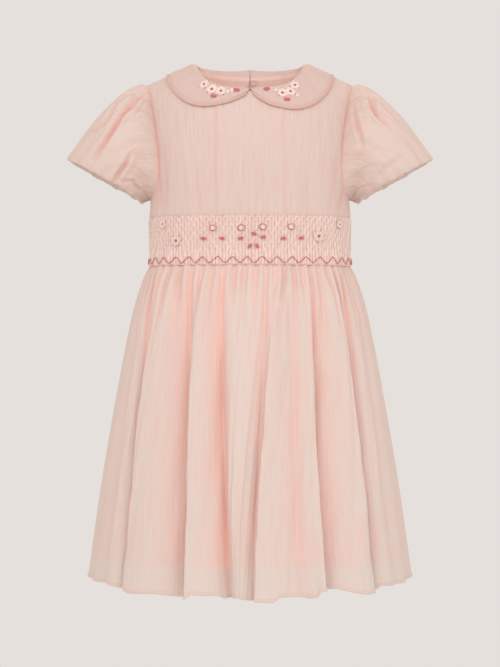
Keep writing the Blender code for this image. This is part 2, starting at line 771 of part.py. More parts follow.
def make_waistband(collection):
    columns = 2 * SMOCK_PLEATS
    outer = []
    inner = []
    for i, share in enumerate(SMOCK_ROWS):
        height = mix(WAIST_TOP, WAIST_BOTTOM, share)
        raised = []
        plain = []
        for j in range(columns + 1):
            centred = j - columns / 2.0
            pleat = -1.0 if j % 2 else 1.0
            pair = 1.0 if (j // 2 + i) % 2 else -1.0
            shift = SMOCK_SHIFT * pair if pleat > 0 and 0 < j < columns else 0.0
            turn = (centred + shift) / columns * math.pi
            lift = LAYER_GAP + SMOCK_RELIEF * pleat
            raised.append(ring_at(height, FRONT, turn, lift))
            plain.append(ring_at(height, FRONT, turn, -BAND_WALL))
        outer.append(raised)
        inner.append(plain)
    for grid in (outer, inner):
        inset_edges(grid, SEAM_INSET, SEAM_INSET, SEAM_INSET, SEAM_INSET)
    raised_panel("waistband_front", outer, inner, collection, "smocking")
    for name, mirror in (("left", 1), ("right", -1)):
        grid = []
        for i in range(BAND_ROWS + 1):
            height = mix(WAIST_TOP, WAIST_BOTTOM, i / BAND_ROWS)
            line = []
            for k in range(BAND_COLUMNS + 1):
                turn = mirror * math.pi / 2 * k / BAND_COLUMNS
                line.append(ring_at(height, BACK, turn, LAYER_GAP))
            grid.append(line[::-1] if mirror > 0 else line)
        inset_edges(grid, SEAM_INSET, SEAM_INSET, SEAM_INSET, SEAM_INSET)
        cloth_panel("waistband_back_" + name, grid, BAND_WALL, collection, "cloth")


def make_back_closing(collection):
    grid = []
    lift = 2 * LAYER_GAP + PLACKET_WALL
    for k in range(PLACKET_ROWS + 1):
        height = mix(PLACKET_TOP, WAIST_BOTTOM + PLACKET_FOOT, k / PLACKET_ROWS)
        line = []
        for x in (PLACKET_HALF_WIDTH, 0.0, -PLACKET_HALF_WIDTH):
            turn, over = seam_place(BACK, x, height)
            line.append(body_point(BACK, turn, over) + body_normal(BACK, turn, over) * lift)
        grid.append(line)
    cloth_panel("back_placket", grid, PLACKET_WALL, collection, "cloth")
    for number, height in enumerate(BUTTON_HEIGHTS, start=1):
        _, over = seam_place(BACK, 0.0, height)
        out = body_normal(BACK, 0.0, over)
        reach = lift + LAYER_GAP + BUTTON_THICKNESS / 2.0
        centre = body_point(BACK, 0.0, over) + out * reach
        bm = bmesh.new()
        bmesh.ops.create_cone(bm, cap_ends=True, segments=BUTTON_SIDES,
                              radius1=BUTTON_RADIUS * MM,
                              radius2=BUTTON_RADIUS * BUTTON_TAPER * MM,
                              depth=BUTTON_THICKNESS * MM)
        name = "button_" + str(number)
        button = add_object(name, smooth_mesh(bm, name), collection, "button")
        button.location = centre * MM
        button.rotation_euler = out.to_track_quat("Z", "Y").to_euler()


def valley_turn(side, index, row):
    """The turn round the skirt at which a fold's valley lies, at one row of the envelope."""
    folds = FOLD_TABLE[side]
    if index < 0:
        return -math.pi / 2
    if index == len(folds) - 1:
        return math.pi / 2
    fold = folds[index]
    heights = ((0.0, fold.waist), (SKIRT_MIDDLE, fold.middle), (SKIRT_LENGTH, fold.hem))
    total = 0.0
    for k, (drop, x) in enumerate(heights):
        weight = 1.0
        for m, (other, _) in enumerate(heights):
            if m != k:
                weight *= (row.drop - other) / (drop - other)
        total += weight * x / value_at(SKIRT, "half_width", drop)
    return oval_turn(total, row.roundness)


def skirt_row(drop):
    """The skirt's envelope at any drop, as a row of its table."""
    return Skirt(drop, *(value_at(SKIRT, column, drop) for column in Skirt._fields[1:]))


def fold_shape(side, index, t):
    """How far a fold has sunk from its crest (0 to 1) and how far it has tipped over."""
    phase = t
    if index == 0:
        phase = 0.5 + t / 2.0
    if index == len(FOLD_TABLE[side]) - 1:
        phase = t / 2.0
    crest = math.sin(math.pi * phase)
    return 1.0 - crest, crest * crest


def fold_inward(side, row, index, t):
    """How far a fold and its gathers lie inside the skirt's envelope."""
    folds = FOLD_TABLE[side]
    fold = folds[index]
    from_start = t * fold.gathers * GATHER_COLUMNS
    from_end = (1.0 - t) * fold.gathers * GATHER_COLUMNS
    sunk, _ = fold_shape(side, index, t)
    wave = 0.5 + 0.5 * math.cos(2.0 * math.pi * fold.gathers * t)
    if index == 0:
        if from_start < SEAM_COLUMNS:
            return 0.0
        return fold.depth * row.folds * sunk + row.gathers * (1.0 - wave)
    before = folds[index - 1].depth
    if index == len(folds) - 1:
        if from_end < SEAM_COLUMNS:
            return 0.0
        return before * row.folds * sunk + row.gathers * wave
    return mix(before, fold.depth, t) * row.folds * sunk + row.gathers * wave


def skirt_point(side, row, index, t):
    """A point of the outer skirt: t runs over the cloth of one fold, from valley to valley."""
    _, tipped = fold_shape(side, index, t)
    start = valley_turn(side, index - 1, row)
    end = valley_turn(side, index, row)
    turn = mix(start, end, t + FOLD_TABLE[side][index].lean * row.folds * tipped)
    depth_out = row.depth_front if side == FRONT else row.depth_back
    x, y = oval(row.half_width, depth_out, row.roundness, turn)
    inward = fold_inward(side, row, index, t)
    normal = Vector((x / row.half_width ** 2, y / depth_out ** 2)).normalized()
    x -= normal.x * inward
    y -= normal.y * inward
    hem = HEM_DROP[side] * (1.0 - abs(math.sin(turn))) * row.drop / SKIRT_LENGTH
    height = WAIST_BOTTOM - row.drop - hem
    if side == BACK:
        x = -x
    return Vector((x, side * y, height))


def skirt_grid(side, drops):
    grid = []
    folds = FOLD_TABLE[side]
    for drop in drops:
        row = skirt_row(drop)
        line = []
        for index, fold in enumerate(folds):
            columns = int(fold.gathers * GATHER_COLUMNS)
            first = 0 if index == 0 else 1
            for k in range(first, columns + 1):
                line.append(skirt_point(side, row, index, k / columns))
        grid.append(line)
    return grid


def make_skirt(collection):
    drops = [row.drop for row in SKIRT]
    for name, side in (("skirt_front", FRONT), ("skirt_back", BACK)):
        grid = skirt_grid(side, drops)
        inset_edges(grid, 2 * SEAM_INSET, 0.0, SEAM_INSET, SEAM_INSET)
        cloth_panel(name, grid, SKIRT_WALL, collection, "cloth")
    lining = []
    for drop in LINING_DROPS:
        row = skirt_row(drop)
        inset = LINING_CLEAR + row.gathers + LINING_FOLD_REACH * row.folds
        line = []
        for j in range(LINING_COLUMNS):
            turn = 2.0 * math.pi * j / LINING_COLUMNS
            side = FRONT if math.cos(turn) > 0.0 else BACK
            depth = row.depth_front if side == FRONT else row.depth_back
            x, y = oval(row.half_width - inset, depth - inset, row.roundness,
                        math.atan2(math.sin(turn), abs(math.cos(turn))))
            line.append(Vector((x, side * y, WAIST_BOTTOM - 2 * SEAM_INSET - drop)))
        lining.append(line)
    cloth_panel("skirt_lining", lining, LINING_WALL, collection, "lining", closed=True)


def main():
    clear_scene()
    collection = bpy.data.collections.new("party_dress")
    bpy.context.scene.collection.children.link(collection)
    make_bodice(collection)
    make_back_closing(collection)
    make_neck_binding(collection)
    make_collar(collection)
    make_sleeves(collection)
    make_waistband(collection)
    make_skirt(collection)


main()
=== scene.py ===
"""The looks of the party dress: crinkled cloth, smocking, piping, embroidery and buttons.

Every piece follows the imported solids.  Tables and sizes are in millimetres and say the same as
the part's source; MM turns them into metres where a mesh is made.  A grid is an array of points
(rows, columns, 3): its columns run left to right as seen from outside and its rows run down.
"""
import json
import math
from collections import namedtuple

import bpy
import numpy as np
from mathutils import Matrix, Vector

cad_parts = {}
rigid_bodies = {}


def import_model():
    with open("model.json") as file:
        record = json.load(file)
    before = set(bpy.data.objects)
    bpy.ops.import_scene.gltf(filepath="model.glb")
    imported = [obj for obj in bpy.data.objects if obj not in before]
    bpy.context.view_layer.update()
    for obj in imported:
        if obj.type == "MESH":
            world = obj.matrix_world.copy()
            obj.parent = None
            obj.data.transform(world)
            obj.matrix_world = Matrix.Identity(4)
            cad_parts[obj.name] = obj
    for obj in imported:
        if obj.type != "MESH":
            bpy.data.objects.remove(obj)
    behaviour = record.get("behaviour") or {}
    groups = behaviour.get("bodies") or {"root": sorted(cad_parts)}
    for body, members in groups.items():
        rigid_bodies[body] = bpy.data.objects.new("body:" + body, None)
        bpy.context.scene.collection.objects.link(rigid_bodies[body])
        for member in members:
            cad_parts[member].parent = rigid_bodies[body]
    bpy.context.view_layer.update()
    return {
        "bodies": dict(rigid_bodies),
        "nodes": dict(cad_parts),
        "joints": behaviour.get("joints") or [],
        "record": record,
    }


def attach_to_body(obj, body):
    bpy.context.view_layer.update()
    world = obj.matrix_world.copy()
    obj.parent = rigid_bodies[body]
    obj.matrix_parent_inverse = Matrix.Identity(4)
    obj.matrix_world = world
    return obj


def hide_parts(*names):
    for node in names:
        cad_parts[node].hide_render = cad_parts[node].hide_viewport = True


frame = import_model()

MM = 0.001
FRONT = -1
BACK = 1

# Heights and sizes shared with the solids
WAIST_TOP = -185.5
WAIST_BOTTOM = -241.5
SHOULDER_TIP_X = 123.0
NECK_POINT_X = 68.0
NECK_CURVE_X = 64.0
SHOULDER_SLOPE = 0.432
SHOULDER_ROUND = {FRONT: 150.0, BACK: 80.0}
BODY_ROUNDNESS = 2.5
CHEST = (119.0, 80.0)
WAIST = (119.5, 81.5)
LAYER_GAP = 0.35

Torso = namedtuple("Torso", "height half_width depth_front depth_back")
TORSO = (
    Torso(-242.0, 120.0, 83.0, 80.0),
    Torso(-213.0, 119.0, 81.0, 77.0),
    Torso(-185.0, 119.5, 82.0, 78.0),
    Torso(-161.5, 117.8, 82.0, 78.0),
    Torso(-130.0, 118.5, 82.0, 78.0),
    Torso(-90.0, 120.5, 81.5, 77.0),
    Torso(-60.0, 122.5, 81.0, 76.0),
    Torso(-25.0, 125.5, 80.0, 76.0),
    Torso(15.0, 126.5, 80.0, 76.0),
)

# The armhole seam from the shoulder tip (0 degrees) down to the underarm (180 degrees)
Armhole = namedtuple("Armhole", "turn x height")
ARMHOLE = (
    Armhole(0, 123.0, -25.5),
    Armhole(20, 119.0, -38.0),
    Armhole(45, 114.5, -60.0),
    Armhole(73, 110.0, -86.0),
    Armhole(99, 107.5, -112.0),
    Armhole(121, 107.5, -134.0),
    Armhole(139, 111.0, -151.0),
    Armhole(154, 115.0, -159.0),
    Armhole(168, 117.0, -161.2),
    Armhole(180, 117.8, -161.5),
)
NECK_SHARE = 0.6
ARMHOLE_SHARE = 9 / 11
EVENING_STEPS = 700
TURN_REACH = 100.0

# The neck seam from the shoulder (0 degrees) to the centre line (90 degrees)
Neck = namedtuple("Neck", "turn x height")
NECK_TABLE = {
    FRONT: (
        Neck(0, 68.0, -1.73),
        Neck(15, 65.5, -10.0),
        Neck(30, 58.5, -20.5),
        Neck(50, 44.0, -31.0),
        Neck(70, 24.0, -36.5),
        Neck(90, 0.0, -38.0),
    ),
    BACK: (
        Neck(0, 68.0, -1.73),
        Neck(15, 65.0, -2.3),
        Neck(30, 58.0, -4.5),
        Neck(50, 43.0, -7.0),
        Neck(70, 22.0, -8.6),
        Neck(90, 0.0, -9.0),
    ),
}

# The collar's outer edge by the same turn as the neck seam
Collar = namedtuple("Collar", "turn x height_left height_right")
COLLAR_TABLE = {
    FRONT: (
        Collar(0, 97.5, -14.5, -14.5),
        Collar(14, 93.5, -29.5, -27.5),
        Collar(28, 84.5, -43.5, -41.0),
        Collar(42, 70.0, -55.5, -52.5),
        Collar(58, 50.0, -60.5, -57.0),
        Collar(72, 26.0, -56.5, -53.0),
        Collar(82, 11.5, -49.0, -47.0),
        Collar(90, 4.4, -42.5, -42.5),
    ),
    BACK: (
        Collar(0, 97.5, -14.5, -14.5),
        Collar(14, 95.0, -24.0, -24.0),
        Collar(30, 86.0, -36.0, -36.0),
        Collar(48, 66.0, -45.0, -45.0),
        Collar(66, 38.0, -50.0, -50.0),
        Collar(79, 14.0, -49.0, -49.0),
        Collar(86, 6.2, -42.0, -42.0),
        Collar(90, 4.4, -32.0, -32.0),
    ),
}
COLLAR_WALL = 1.5
COLLAR_CLEAR = 1.0
COLLAR_ROLL = {FRONT: 2.5, BACK: 3.0}
COLLAR_RISE = {FRONT: 0.0, BACK: 9.0}
SHOULDER_ROLL = 0.3
ROLL_REACH = 0.4
STAND_REACH = 2.2
SHOULDER_STAND = 5.5
SHOULDER_STAND_TURN = 60.0
COLLAR_CENTRE_X = 0.7
COLLAR_SEAM = 2.9
PIPING_RADIUS = 1.15

# The sleeve as rings from the armhole to its turned-under hem
Sleeve = namedtuple("Sleeve", "ring top_x top_z under_x under_z front back gather")
SLEEVE = (
    Sleeve(0, 123.0, -25.5, 117.8, -161.5, 43.0, 39.0, 0.2),
    Sleeve(1, 131.0, -26.5, 119.3, -162.2, 50.0, 46.0, 1.9),
    Sleeve(2, 144.5, -31.5, 120.8, -162.8, 56.0, 52.0, 1.9),
    Sleeve(3, 159.0, -41.5, 122.0, -163.3, 60.0, 56.0, 1.1),
    Sleeve(4, 174.0, -55.5, 123.2, -163.8, 62.5, 58.0, 0.5),
    Sleeve(5, 190.0, -74.0, 124.4, -164.3, 63.0, 59.0, 0.5),
    Sleeve(6, 204.0, -94.0, 125.6, -164.8, 62.0, 58.0, 1.2),
    Sleeve(7, 216.0, -113.5, 127.0, -165.2, 59.0, 55.0, 1.9),
    Sleeve(8, 208.0, -116.5, 133.0, -159.5, 50.0, 47.0, 1.9),
    Sleeve(9, 200.0, -115.0, 134.0, -148.0, 37.5, 37.5, 0.5),
)
SLEEVE_GATHERS = 18
SLEEVE_BAND_HEIGHT = 9.0
SLEEVE_BAND_INSIDE = 2.2
# Waves of the hem under the arm, the lips beside a crease and the narrowing of the front creases
SCALLOPS = 11.0
CREASE_LIP = 0.35
CRISP = 0.72

# The skirt's outer envelope at distances down from the waist seam
Skirt = namedtuple("Skirt", "drop half_width depth_front depth_back roundness folds gathers")
SKIRT = (
    Skirt(0, 120.0, 83.0, 80.0, 2.50, 0.00, 1.2),
    Skirt(8, 124.5, 88.0, 85.0, 2.45, 0.03, 3.2),
    Skirt(20, 129.5, 94.0, 91.0, 2.40, 0.10, 4.2),
    Skirt(45, 137.5, 102.0, 99.0, 2.35, 0.26, 3.8),
    Skirt(85, 146.5, 111.0, 108.0, 2.30, 0.50, 2.4),
    Skirt(140, 157.0, 122.0, 119.0, 2.25, 0.75, 1.0),
    Skirt(250, 176.0, 140.5, 137.5, 2.18, 0.95, 0.0),
    Skirt(368, 193.0, 158.0, 156.0, 2.10, 1.00, 0.0),
)
SKIRT_LENGTH = 368.0
SKIRT_MIDDLE = 165.0
HEM_DROP = {FRONT: 9.0, BACK: 4.0}
SEAM_TUCK = 1.8
# Folds whose hem lies farther out than this are shallower; two folds, by their place in the
# table, are broader on top, and one of those is set back and the other leans to the side.
SIDE_X = 160.0
SIDE_SHARE = 0.55
FLAT_FOLD = 5
LEANING_FOLD = 7
Fold = namedtuple("Fold", "gathers waist middle hem depth lean")
FOLD_TABLE = {
    FRONT: (
        Fold(1.5, -118.8, -157.9, -187.5, 11.0, 0.00),
        Fold(1.0, -115.3, -147.7, -171.4, 9.0, -0.20),
        Fold(2.0, -109.0, -131.0, -146.0, 17.0, -0.10),
        Fold(4.0, -67.5, -72.0, -73.0, 24.0, -0.46),
        Fold(3.0, -31.0, -33.0, -23.0, 27.0, -0.48),
        Fold(4.0, 19.0, 13.0, 3.0, 15.0, -0.15),
        Fold(3.0, 50.0, 53.0, 64.5, 13.0, -0.42),
        Fold(2.0, 69.0, 75.0, 85.5, 22.0, 0.22),
        Fold(4.0, 103.5, 126.0, 145.0, 19.0, 0.42),
        Fold(2.0, 112.6, 145.5, 171.4, 9.0, 0.20),
        Fold(1.0, 118.2, 157.3, 187.5, 11.0, 0.00),
        Fold(1.5, 120.0, 161.0, 193.0, 0.0, 0.00),
    ),
    BACK: (
        Fold(1.5, -118.4, -157.0, -187.1, 11.0, 0.00),
        Fold(1.0, -112.9, -144.3, -169.1, 9.0, -0.20),
        Fold(2.0, -104.0, -124.0, -140.0, 17.0, -0.10),
        Fold(3.0, -64.0, -72.0, -82.0, 22.0, -0.40),
        Fold(3.0, -27.0, -30.0, -31.0, 25.0, -0.44),
        Fold(3.0, 8.0, 6.0, 4.0, 19.0, -0.20),
        Fold(3.0, 40.0, 47.0, 52.0, 24.0, 0.30),
        Fold(3.0, 73.0, 84.0, 95.0, 20.0, 0.42),
        Fold(3.0, 105.0, 128.0, 148.0, 17.0, 0.34),
        Fold(2.0, 113.3, 146.1, 172.2, 9.0, 0.20),
        Fold(1.0, 118.4, 157.6, 187.5, 11.0, 0.00),
        Fold(1.5, 120.0, 161.0, 193.0, 0.0, 0.00),
    ),
}
LINING_LENGTH = 333.0
LINING_CLEAR = 1.5
LINING_FOLD_REACH = 30.0

# The back closing and the neck binding.  A button's profile is (radius, height) from the middle
# of its front, over its rim, to the middle of its back.
PLACKET_HALF_WIDTH = 9.0
PLACKET_TOP = -53.0
PLACKET_LIFT = 1.2
BUTTON_PROFILE = ((0.0, 1.25), (2.9, 1.3), (3.5, 1.7), (4.4, 2.3), (5.0, 2.4), (5.4, 2.0),
                  (5.5, 1.3), (5.2, 0.4), (4.2, 0.05), (0.0, 0.0))
BUTTON_SIDES = 32
BUTTON_HOLE = 1.1
BUTTON_HEIGHTS = (-72.0, -112.0, -152.0, -212.0)
BINDING_DEPTH = 0.30
BINDING_INSIDE = 3.7
BINDING_START = 8.0
LOOP_RISE = -1.0
LOOP_X = (0.8, 8.4)
LOOP_FALL = (0.0, 5.4)

# The tucks each side of the bodice's middle
TUCK_X = 37.0
TUCK_RISE = 0.8

# Soft creases as seen from the front: points (x, height), width and depth
Crease = namedtuple("Crease", "path width depth")
BODICE_CREASES = (
    Crease(((-110.0, -104.0), (-108.0, -140.0), (-104.0, -176.0)), 4.0, 1.6),
    Crease(((-96.0, -120.0), (-98.0, -150.0), (-101.0, -180.0)), 3.5, 0.8),
    Crease(((112.0, -150.0), (108.0, -164.0), (104.0, -179.0)), 3.5, 1.6),
    Crease(((98.0, -118.0), (99.0, -146.0), (96.0, -178.0)), 4.0, 0.9),
    Crease(((-60.0, -150.0), (-58.0, -182.0)), 5.0, 0.5),
    Crease(((64.0, -146.0), (62.0, -182.0)), 5.0, 0.5),
)
BACK_CREASES = (
    Crease(((106.0, -112.0), (103.0, -145.0), (98.0, -178.0)), 4.0, 1.5),
    Crease(((60.0, -140.0), (56.0, -180.0)), 6.0, 0.8),
    Crease(((34.0, -120.0), (30.0, -176.0)), 6.0, 0.6),
)

# The rolled hem's section, as (out of the cloth, up)
HEM_SECTION = ((-0.9, 0.0), (-0.5, -0.8), (0.2, -0.9), (0.85, -0.2), (0.9, 2.6), (0.35, 3.3),
               (-0.5, 3.2), (-0.9, 2.4))

# How much lower than its even curve the hem hangs, as (x as seen from outside, drop)
HEM_STEPS = {
    FRONT: ((-193, 0), (-169, -3), (-146, -0.5), (-140, 2.5), (-106, 0.2), (-74, 2), (-66, -3.5),
            (-36, -3.5), (-29, 0), (-22, -1), (-14, -3.5), (-9, -1.5), (8, 0.5), (27, 2.2), (33, -2.9),
            (50, -2.5), (66, 1.3), (76, 0.3), (80, -6), (98, -6), (118, 0), (134, 3.5), (142, 3),
            (150, -2.5), (171, -1), (193, 0)),
    BACK: ((-193, 0), (-150, -2), (-136, 2), (-90, -1), (-76, 2), (-30, -2), (8, 2), (50, -1),
           (62, 2), (100, -2), (144, 1.5), (160, -2), (193, 0)),
}
SKIRT_CREASES = {
    FRONT: (
        Crease(((-85.0, -10.0), (-84.0, -30.0), (-85.0, -60.0)), 3.5, 2.5),
        Crease(((-50.0, -8.0), (-51.0, -60.0), (-54.0, -120.0)), 4.0, 2.5),
        Crease(((43.0, -8.0), (47.0, -60.0), (48.0, -95.0)), 3.5, 2.2),
        Crease(((88.0, -12.0), (92.0, -70.0), (102.0, -120.0)), 5.0, 3.0),
        Crease(((112.0, -4.0), (120.0, -20.0), (132.0, -58.0)), 4.0, 2.5),
        Crease(((-84.0, -24.0), (-100.0, -70.0), (-106.0, -130.0)), 4.0, 2.0),
        Crease(((78.0, -20.0), (84.0, -60.0), (90.0, -110.0)), 4.0, 2.4),
        Crease(((-6.0, -10.0), (-9.0, -50.0), (-12.0, -100.0)), 3.5, 2.0),
        Crease(((27.0, -10.0), (34.0, -70.0), (36.0, -110.0)), 3.5, 2.0),
    ),
    BACK: (
        Crease(((-48.0, -8.0), (-50.0, -60.0), (-52.0, -120.0)), 4.0, 2.5),
        Crease(((22.0, -8.0), (25.0, -60.0), (24.0, -110.0)), 4.0, 2.5),
        Crease(((88.0, -12.0), (94.0, -70.0), (104.0, -120.0)), 5.0, 3.0),
    ),
}

# Creases of each sleeve as if it were on the +X side.  Those on the back follow the same lines a
# little lower.
SLEEVE_CREASES = {
    "right": (
        Crease(((122.0, -38.0), (135.0, -47.0), (147.0, -62.0),
                (158.0, -80.0), (172.0, -104.0), (181.0, -118.0)), 4.2, 5.5),
        Crease(((125.0, -33.0), (135.0, -35.0), (154.0, -47.0),
                (164.0, -64.0), (171.0, -76.0), (194.0, -88.0)), 3.0, 3.2),
        Crease(((138.0, -113.0), (144.0, -125.0), (153.0, -137.0), (158.0, -147.0)), 3.6, 4.0),
        Crease(((138.0, -36.0), (150.0, -47.0)), 3.0, 1.6),
        Crease(((150.0, -145.0), (137.0, -144.0), (133.0, -150.0), (126.0, -157.0)), 3.0, 2.0),
        Crease(((122.0, -48.0), (131.0, -60.0), (135.0, -70.0)), 2.0, 1.8),
        Crease(((131.0, -30.0), (143.0, -36.0), (151.0, -43.0)), 1.8, 1.5),
        Crease(((127.0, -41.0), (137.0, -54.0), (143.0, -66.0)), 1.8, 1.5),
    ),
    "left": (
        Crease(((123.0, -29.0), (136.0, -33.0), (149.0, -45.0),
                (163.0, -60.0), (172.0, -68.0), (180.0, -78.0)), 3.0, 3.6),
        Crease(((133.0, -38.0), (141.0, -46.0), (145.0, -58.0), (149.0, -68.0), (165.0, -80.0)), 3.8, 5.0),
        Crease(((120.0, -47.0), (122.0, -66.0), (127.0, -86.0), (130.0, -103.0)), 3.6, 3.6),
        Crease(((126.0, -34.0), (133.0, -44.0)), 3.0, 1.5),
        Crease(((128.0, -29.0), (139.0, -31.0), (148.0, -38.0)), 1.8, 1.5),
        Crease(((122.0, -40.0), (129.0, -52.0), (132.0, -64.0)), 1.8, 1.6),
        Crease(((128.0, -36.0), (136.0, -45.0), (138.0, -56.0)), 1.6, 1.3),
        Crease(((150.0, -140.0), (160.0, -128.0), (176.0, -118.0)), 5.0, 1.6),
    ),
}

# The smocked band
SMOCK_ROWS = 7
SMOCK_ROW_PITCH = 5.2
SMOCK_DEEP = 1.35
BAND_HEIGHT = WAIST_TOP - WAIST_BOTTOM
BAND_LIFT = LAYER_GAP + 0.2
BAND_OVERLAP_TOP = 0.8
BAND_OVERLAP_BOTTOM = 0.6
BAND_TURN = 1.3
SMOCK_LEAN = 0.32
SEWN_LIFT = 0.9
ZIGZAG_PITCH = 17.0
ZIGZAG_DROPS = (46.7, 54.6)

COLLAR_ROSE_SIZE = 1.22
ROSE_PETALS = 6
RING_SIZE = (4.4, 3.3)

# The stitches of a bud, side by side: (place across it, length)
BUD_STITCHES = ((-1.1, 4.8), (0.0, 7.0), (1.1, 5.2))

# Embroidery as seen from the front: places (x, height), with a size or an angle where it varies
WAIST_BUDS = ((-53.2, -211.7), (-31.7, -211.7), (-10.3, -211.7), (4.3, -206.5), (14.9, -210.3),
              (37.9, -211.7), (58.4, -211.0))
WAIST_PETALS = ((-0.3, -220.6, 1.0), (7.9, -220.6, -0.9))
WAIST_RINGS = ((-42.1, -199.5), (-10.0, -199.5), (14.9, -198.5), (47.1, -198.2))
WAIST_ROSES = ((-84.6, -213.7, 1.5), (78.6, -208.6, 1.6), (-100.5, -194.0, 1.1), (103.2, -194.0, 1.1))
COLLAR_ROSES = ((-53.8, -30.6, 1.05), (-43.7, -37.7, 1.25), (-33.2, -39.8, 1.15),
                (52.3, -31.5, 1.1), (46.2, -40.2, 1.15), (37.2, -42.4, 1.15))
COLLAR_BUDS = ((-15.4, -38.9), (-41.4, -46.2), (19.4, -37.7), (42.4, -50.2))
COLLAR_LEAVES = ((-26.3, -40.3), (-21.8, -39.2), (30.6, -38.6), (54.6, -44.5))

# The stage, in metres and watts.  The small light stands in the neck and shows the lining.
Light = namedtuple("Light", "name kind place power size")
LIGHTS = (
    Light("key", "AREA", (-1.1, -2.0, 1.1), 23.0, 2.4),
    Light("fill", "AREA", (1.5, -1.9, 0.2), 15.5, 2.2),
    Light("back", "AREA", (0.3, 2.2, 1.2), 16.0, 1.8),
    Light("inside", "POINT", (0.0, -0.02, -0.11), 0.12, 0.0),
)
LIGHT_AIM = (0.0, 0.0, -0.3)
BACKDROP = (229, 224, 220)
FLOOR_SIZE = 6.0
FLOOR_Z = -1.15
CAMERA_PLACE = (0.0, -2.2, -0.3212)
CAMERA_LENS = 99.45
CAMERA_SENSOR = 36.0

# Fineness of the meshes
CLOTH_WALL = 0.5
BODICE_COLUMNS = 84
BODICE_ROWS = 84
COLLAR_STEPS = 70
SLEEVE_COLUMNS = 240
SLEEVE_STEP = 0.1
SKIRT_PER_GATHER = 15
SKIRT_STEP = 5.3
SMOCK_PLEATS = 88
SMOCK_PER_PLEAT = 6
BAND_ROWS = 64
PLAIN_BAND_ROWS = 34
BAR_SIDE = 1.2

# A flat place to sew on: a point and the ways right, up and out of the cloth
Frame = namedtuple("Frame", "point right up out")

# Each collar half's (points, ways out)
COLLAR_SURFACES = {}


def value_at(table, column, place):
    """A column's value at each place along the table's first column, on a smooth curve."""
    keys = np.array([row[0] for row in table], float)
    values = np.array([getattr(row, column) for row in table], float)
    place = np.clip(np.asarray(place, float), keys[0], keys[-1])
    i = np.clip(np.searchsorted(keys, place, side="right") - 1, 0, len(keys) - 2)
    low = np.maximum(np.arange(len(keys)) - 1, 0)
    high = np.minimum(np.arange(len(keys)) + 1, len(keys) - 1)
    slopes = (values[high] - values[low]) / (keys[high] - keys[low])
    span = keys[i + 1] - keys[i]
    t = (place - keys[i]) / span
    start = (2 * t ** 3 - 3 * t ** 2 + 1) * values[i]
    start += (t ** 3 - 2 * t ** 2 + t) * span * slopes[i]
    end = (3 * t ** 2 - 2 * t ** 3) * values[i + 1] + (t ** 3 - t ** 2) * span * slopes[i + 1]
    return start + end


def mix(a, b, t):
    return a + (b - a) * t


def smooth(low, high, value):
    """0 below low, 1 above high and an even curve between them."""
    t = np.clip((np.asarray(value, float) - low) / (high - low), 0.0, 1.0)
    return t * t * (3.0 - 2.0 * t)


def near(value, centre, width):
    """1 at the centre, falling off evenly to both sides over about the width."""
    return np.exp(-((value - centre) / width) ** 2)


def running(steps):
    """How far along a row each point lies, from the steps between the points."""
    return np.concatenate(([0.0], np.cumsum(steps)))


def uneven(place, seed):
    """A wandering value between about -1 and 1 that changes over a distance of about one."""
    total = 0.0
    for k, weight in enumerate((0.5, 0.35, 0.25, 0.2)):
        pace = (0.61, 1.37, 2.21, 3.47)[k]
        total = total + weight * np.sin(2.0 * math.pi * pace * place + seed * (2.3 + 1.7 * k) + k)
    return total


def unit(vectors):
    return vectors / (np.linalg.norm(vectors, axis=-1, keepdims=True) + 1e-12)


def grid_normals(grid):
    """The way out of a grid of points."""
    return unit(np.cross(np.gradient(grid, axis=0), np.gradient(grid, axis=1)))


def blur(values, times):
    """Each row's values, evened out a little along the row; its ends stay as they are."""
    values = values.copy()
    for _ in range(times):
        values[:, 1:-1] = values[:, 1:-1] / 2.0 + (values[:, :-2] + values[:, 2:]) / 4.0
    return values


def oval(half_width, depth, roundness, turn):
    """Points of an oval, where turn runs from -90 degrees over the middle to 90 degrees."""
    across, outward = np.sin(turn), np.maximum(np.cos(turn), 0.0)
    size = (np.abs(across) ** roundness + outward ** roundness) ** (1.0 / roundness)
    return half_width * across / size, depth * outward / size


def oval_turn(fraction, roundness):
    """The turn at which an oval reaches this fraction of its half width."""
    across = np.minimum(np.abs(fraction), 1.0)
    return np.copysign(np.arctan2(across, (1.0 - across ** roundness) ** (1.0 / roundness)), fraction)


def shoulder_height(x):
    """Height of the shoulder line, which runs on as a smooth crest across the neck."""
    x = np.abs(x)
    crest = SHOULDER_SLOPE * (NECK_CURVE_X - x * x / NECK_CURVE_X) / 2.0
    return np.where(x > NECK_CURVE_X, SHOULDER_SLOPE * (NECK_CURVE_X - x), crest)


def body_depth(side, height):
    return value_at(TORSO, "depth_front" if side == FRONT else "depth_back", height)


def body_point(side, turn, over):
    """Points of the body's surface: turn goes round it and over goes down from the shoulder."""
    turn, over = np.broadcast_arrays(np.asarray(turn, float), np.asarray(over, float))
    reach = np.minimum(over, math.pi / 2)
    fall = SHOULDER_ROUND[side] * (1.0 - np.cos(reach) + over - reach)
    height = shoulder_height(NECK_CURVE_X) - fall
    for _ in range(6):
        half_width = value_at(TORSO, "half_width", height)
        x, depth = oval(half_width, body_depth(side, height), BODY_ROUNDNESS, turn)
        height = shoulder_height(x) - fall
    return np.stack((x, side * depth * np.sin(reach), height), axis=-1)


def body_place(side, x, height):
    """The turn and over at which the body's surface has this x and this height."""
    x, height = np.broadcast_arrays(np.asarray(x, float), np.asarray(height, float))
    turn = oval_turn(x / value_at(TORSO, "half_width", height), BODY_ROUNDNESS)
    fall = np.maximum(shoulder_height(x) - height, 0.0) / SHOULDER_ROUND[side]
    return turn, np.where(fall < 1.0, np.arccos(1.0 - np.minimum(fall, 1.0)), math.pi / 2 + fall - 1.0)


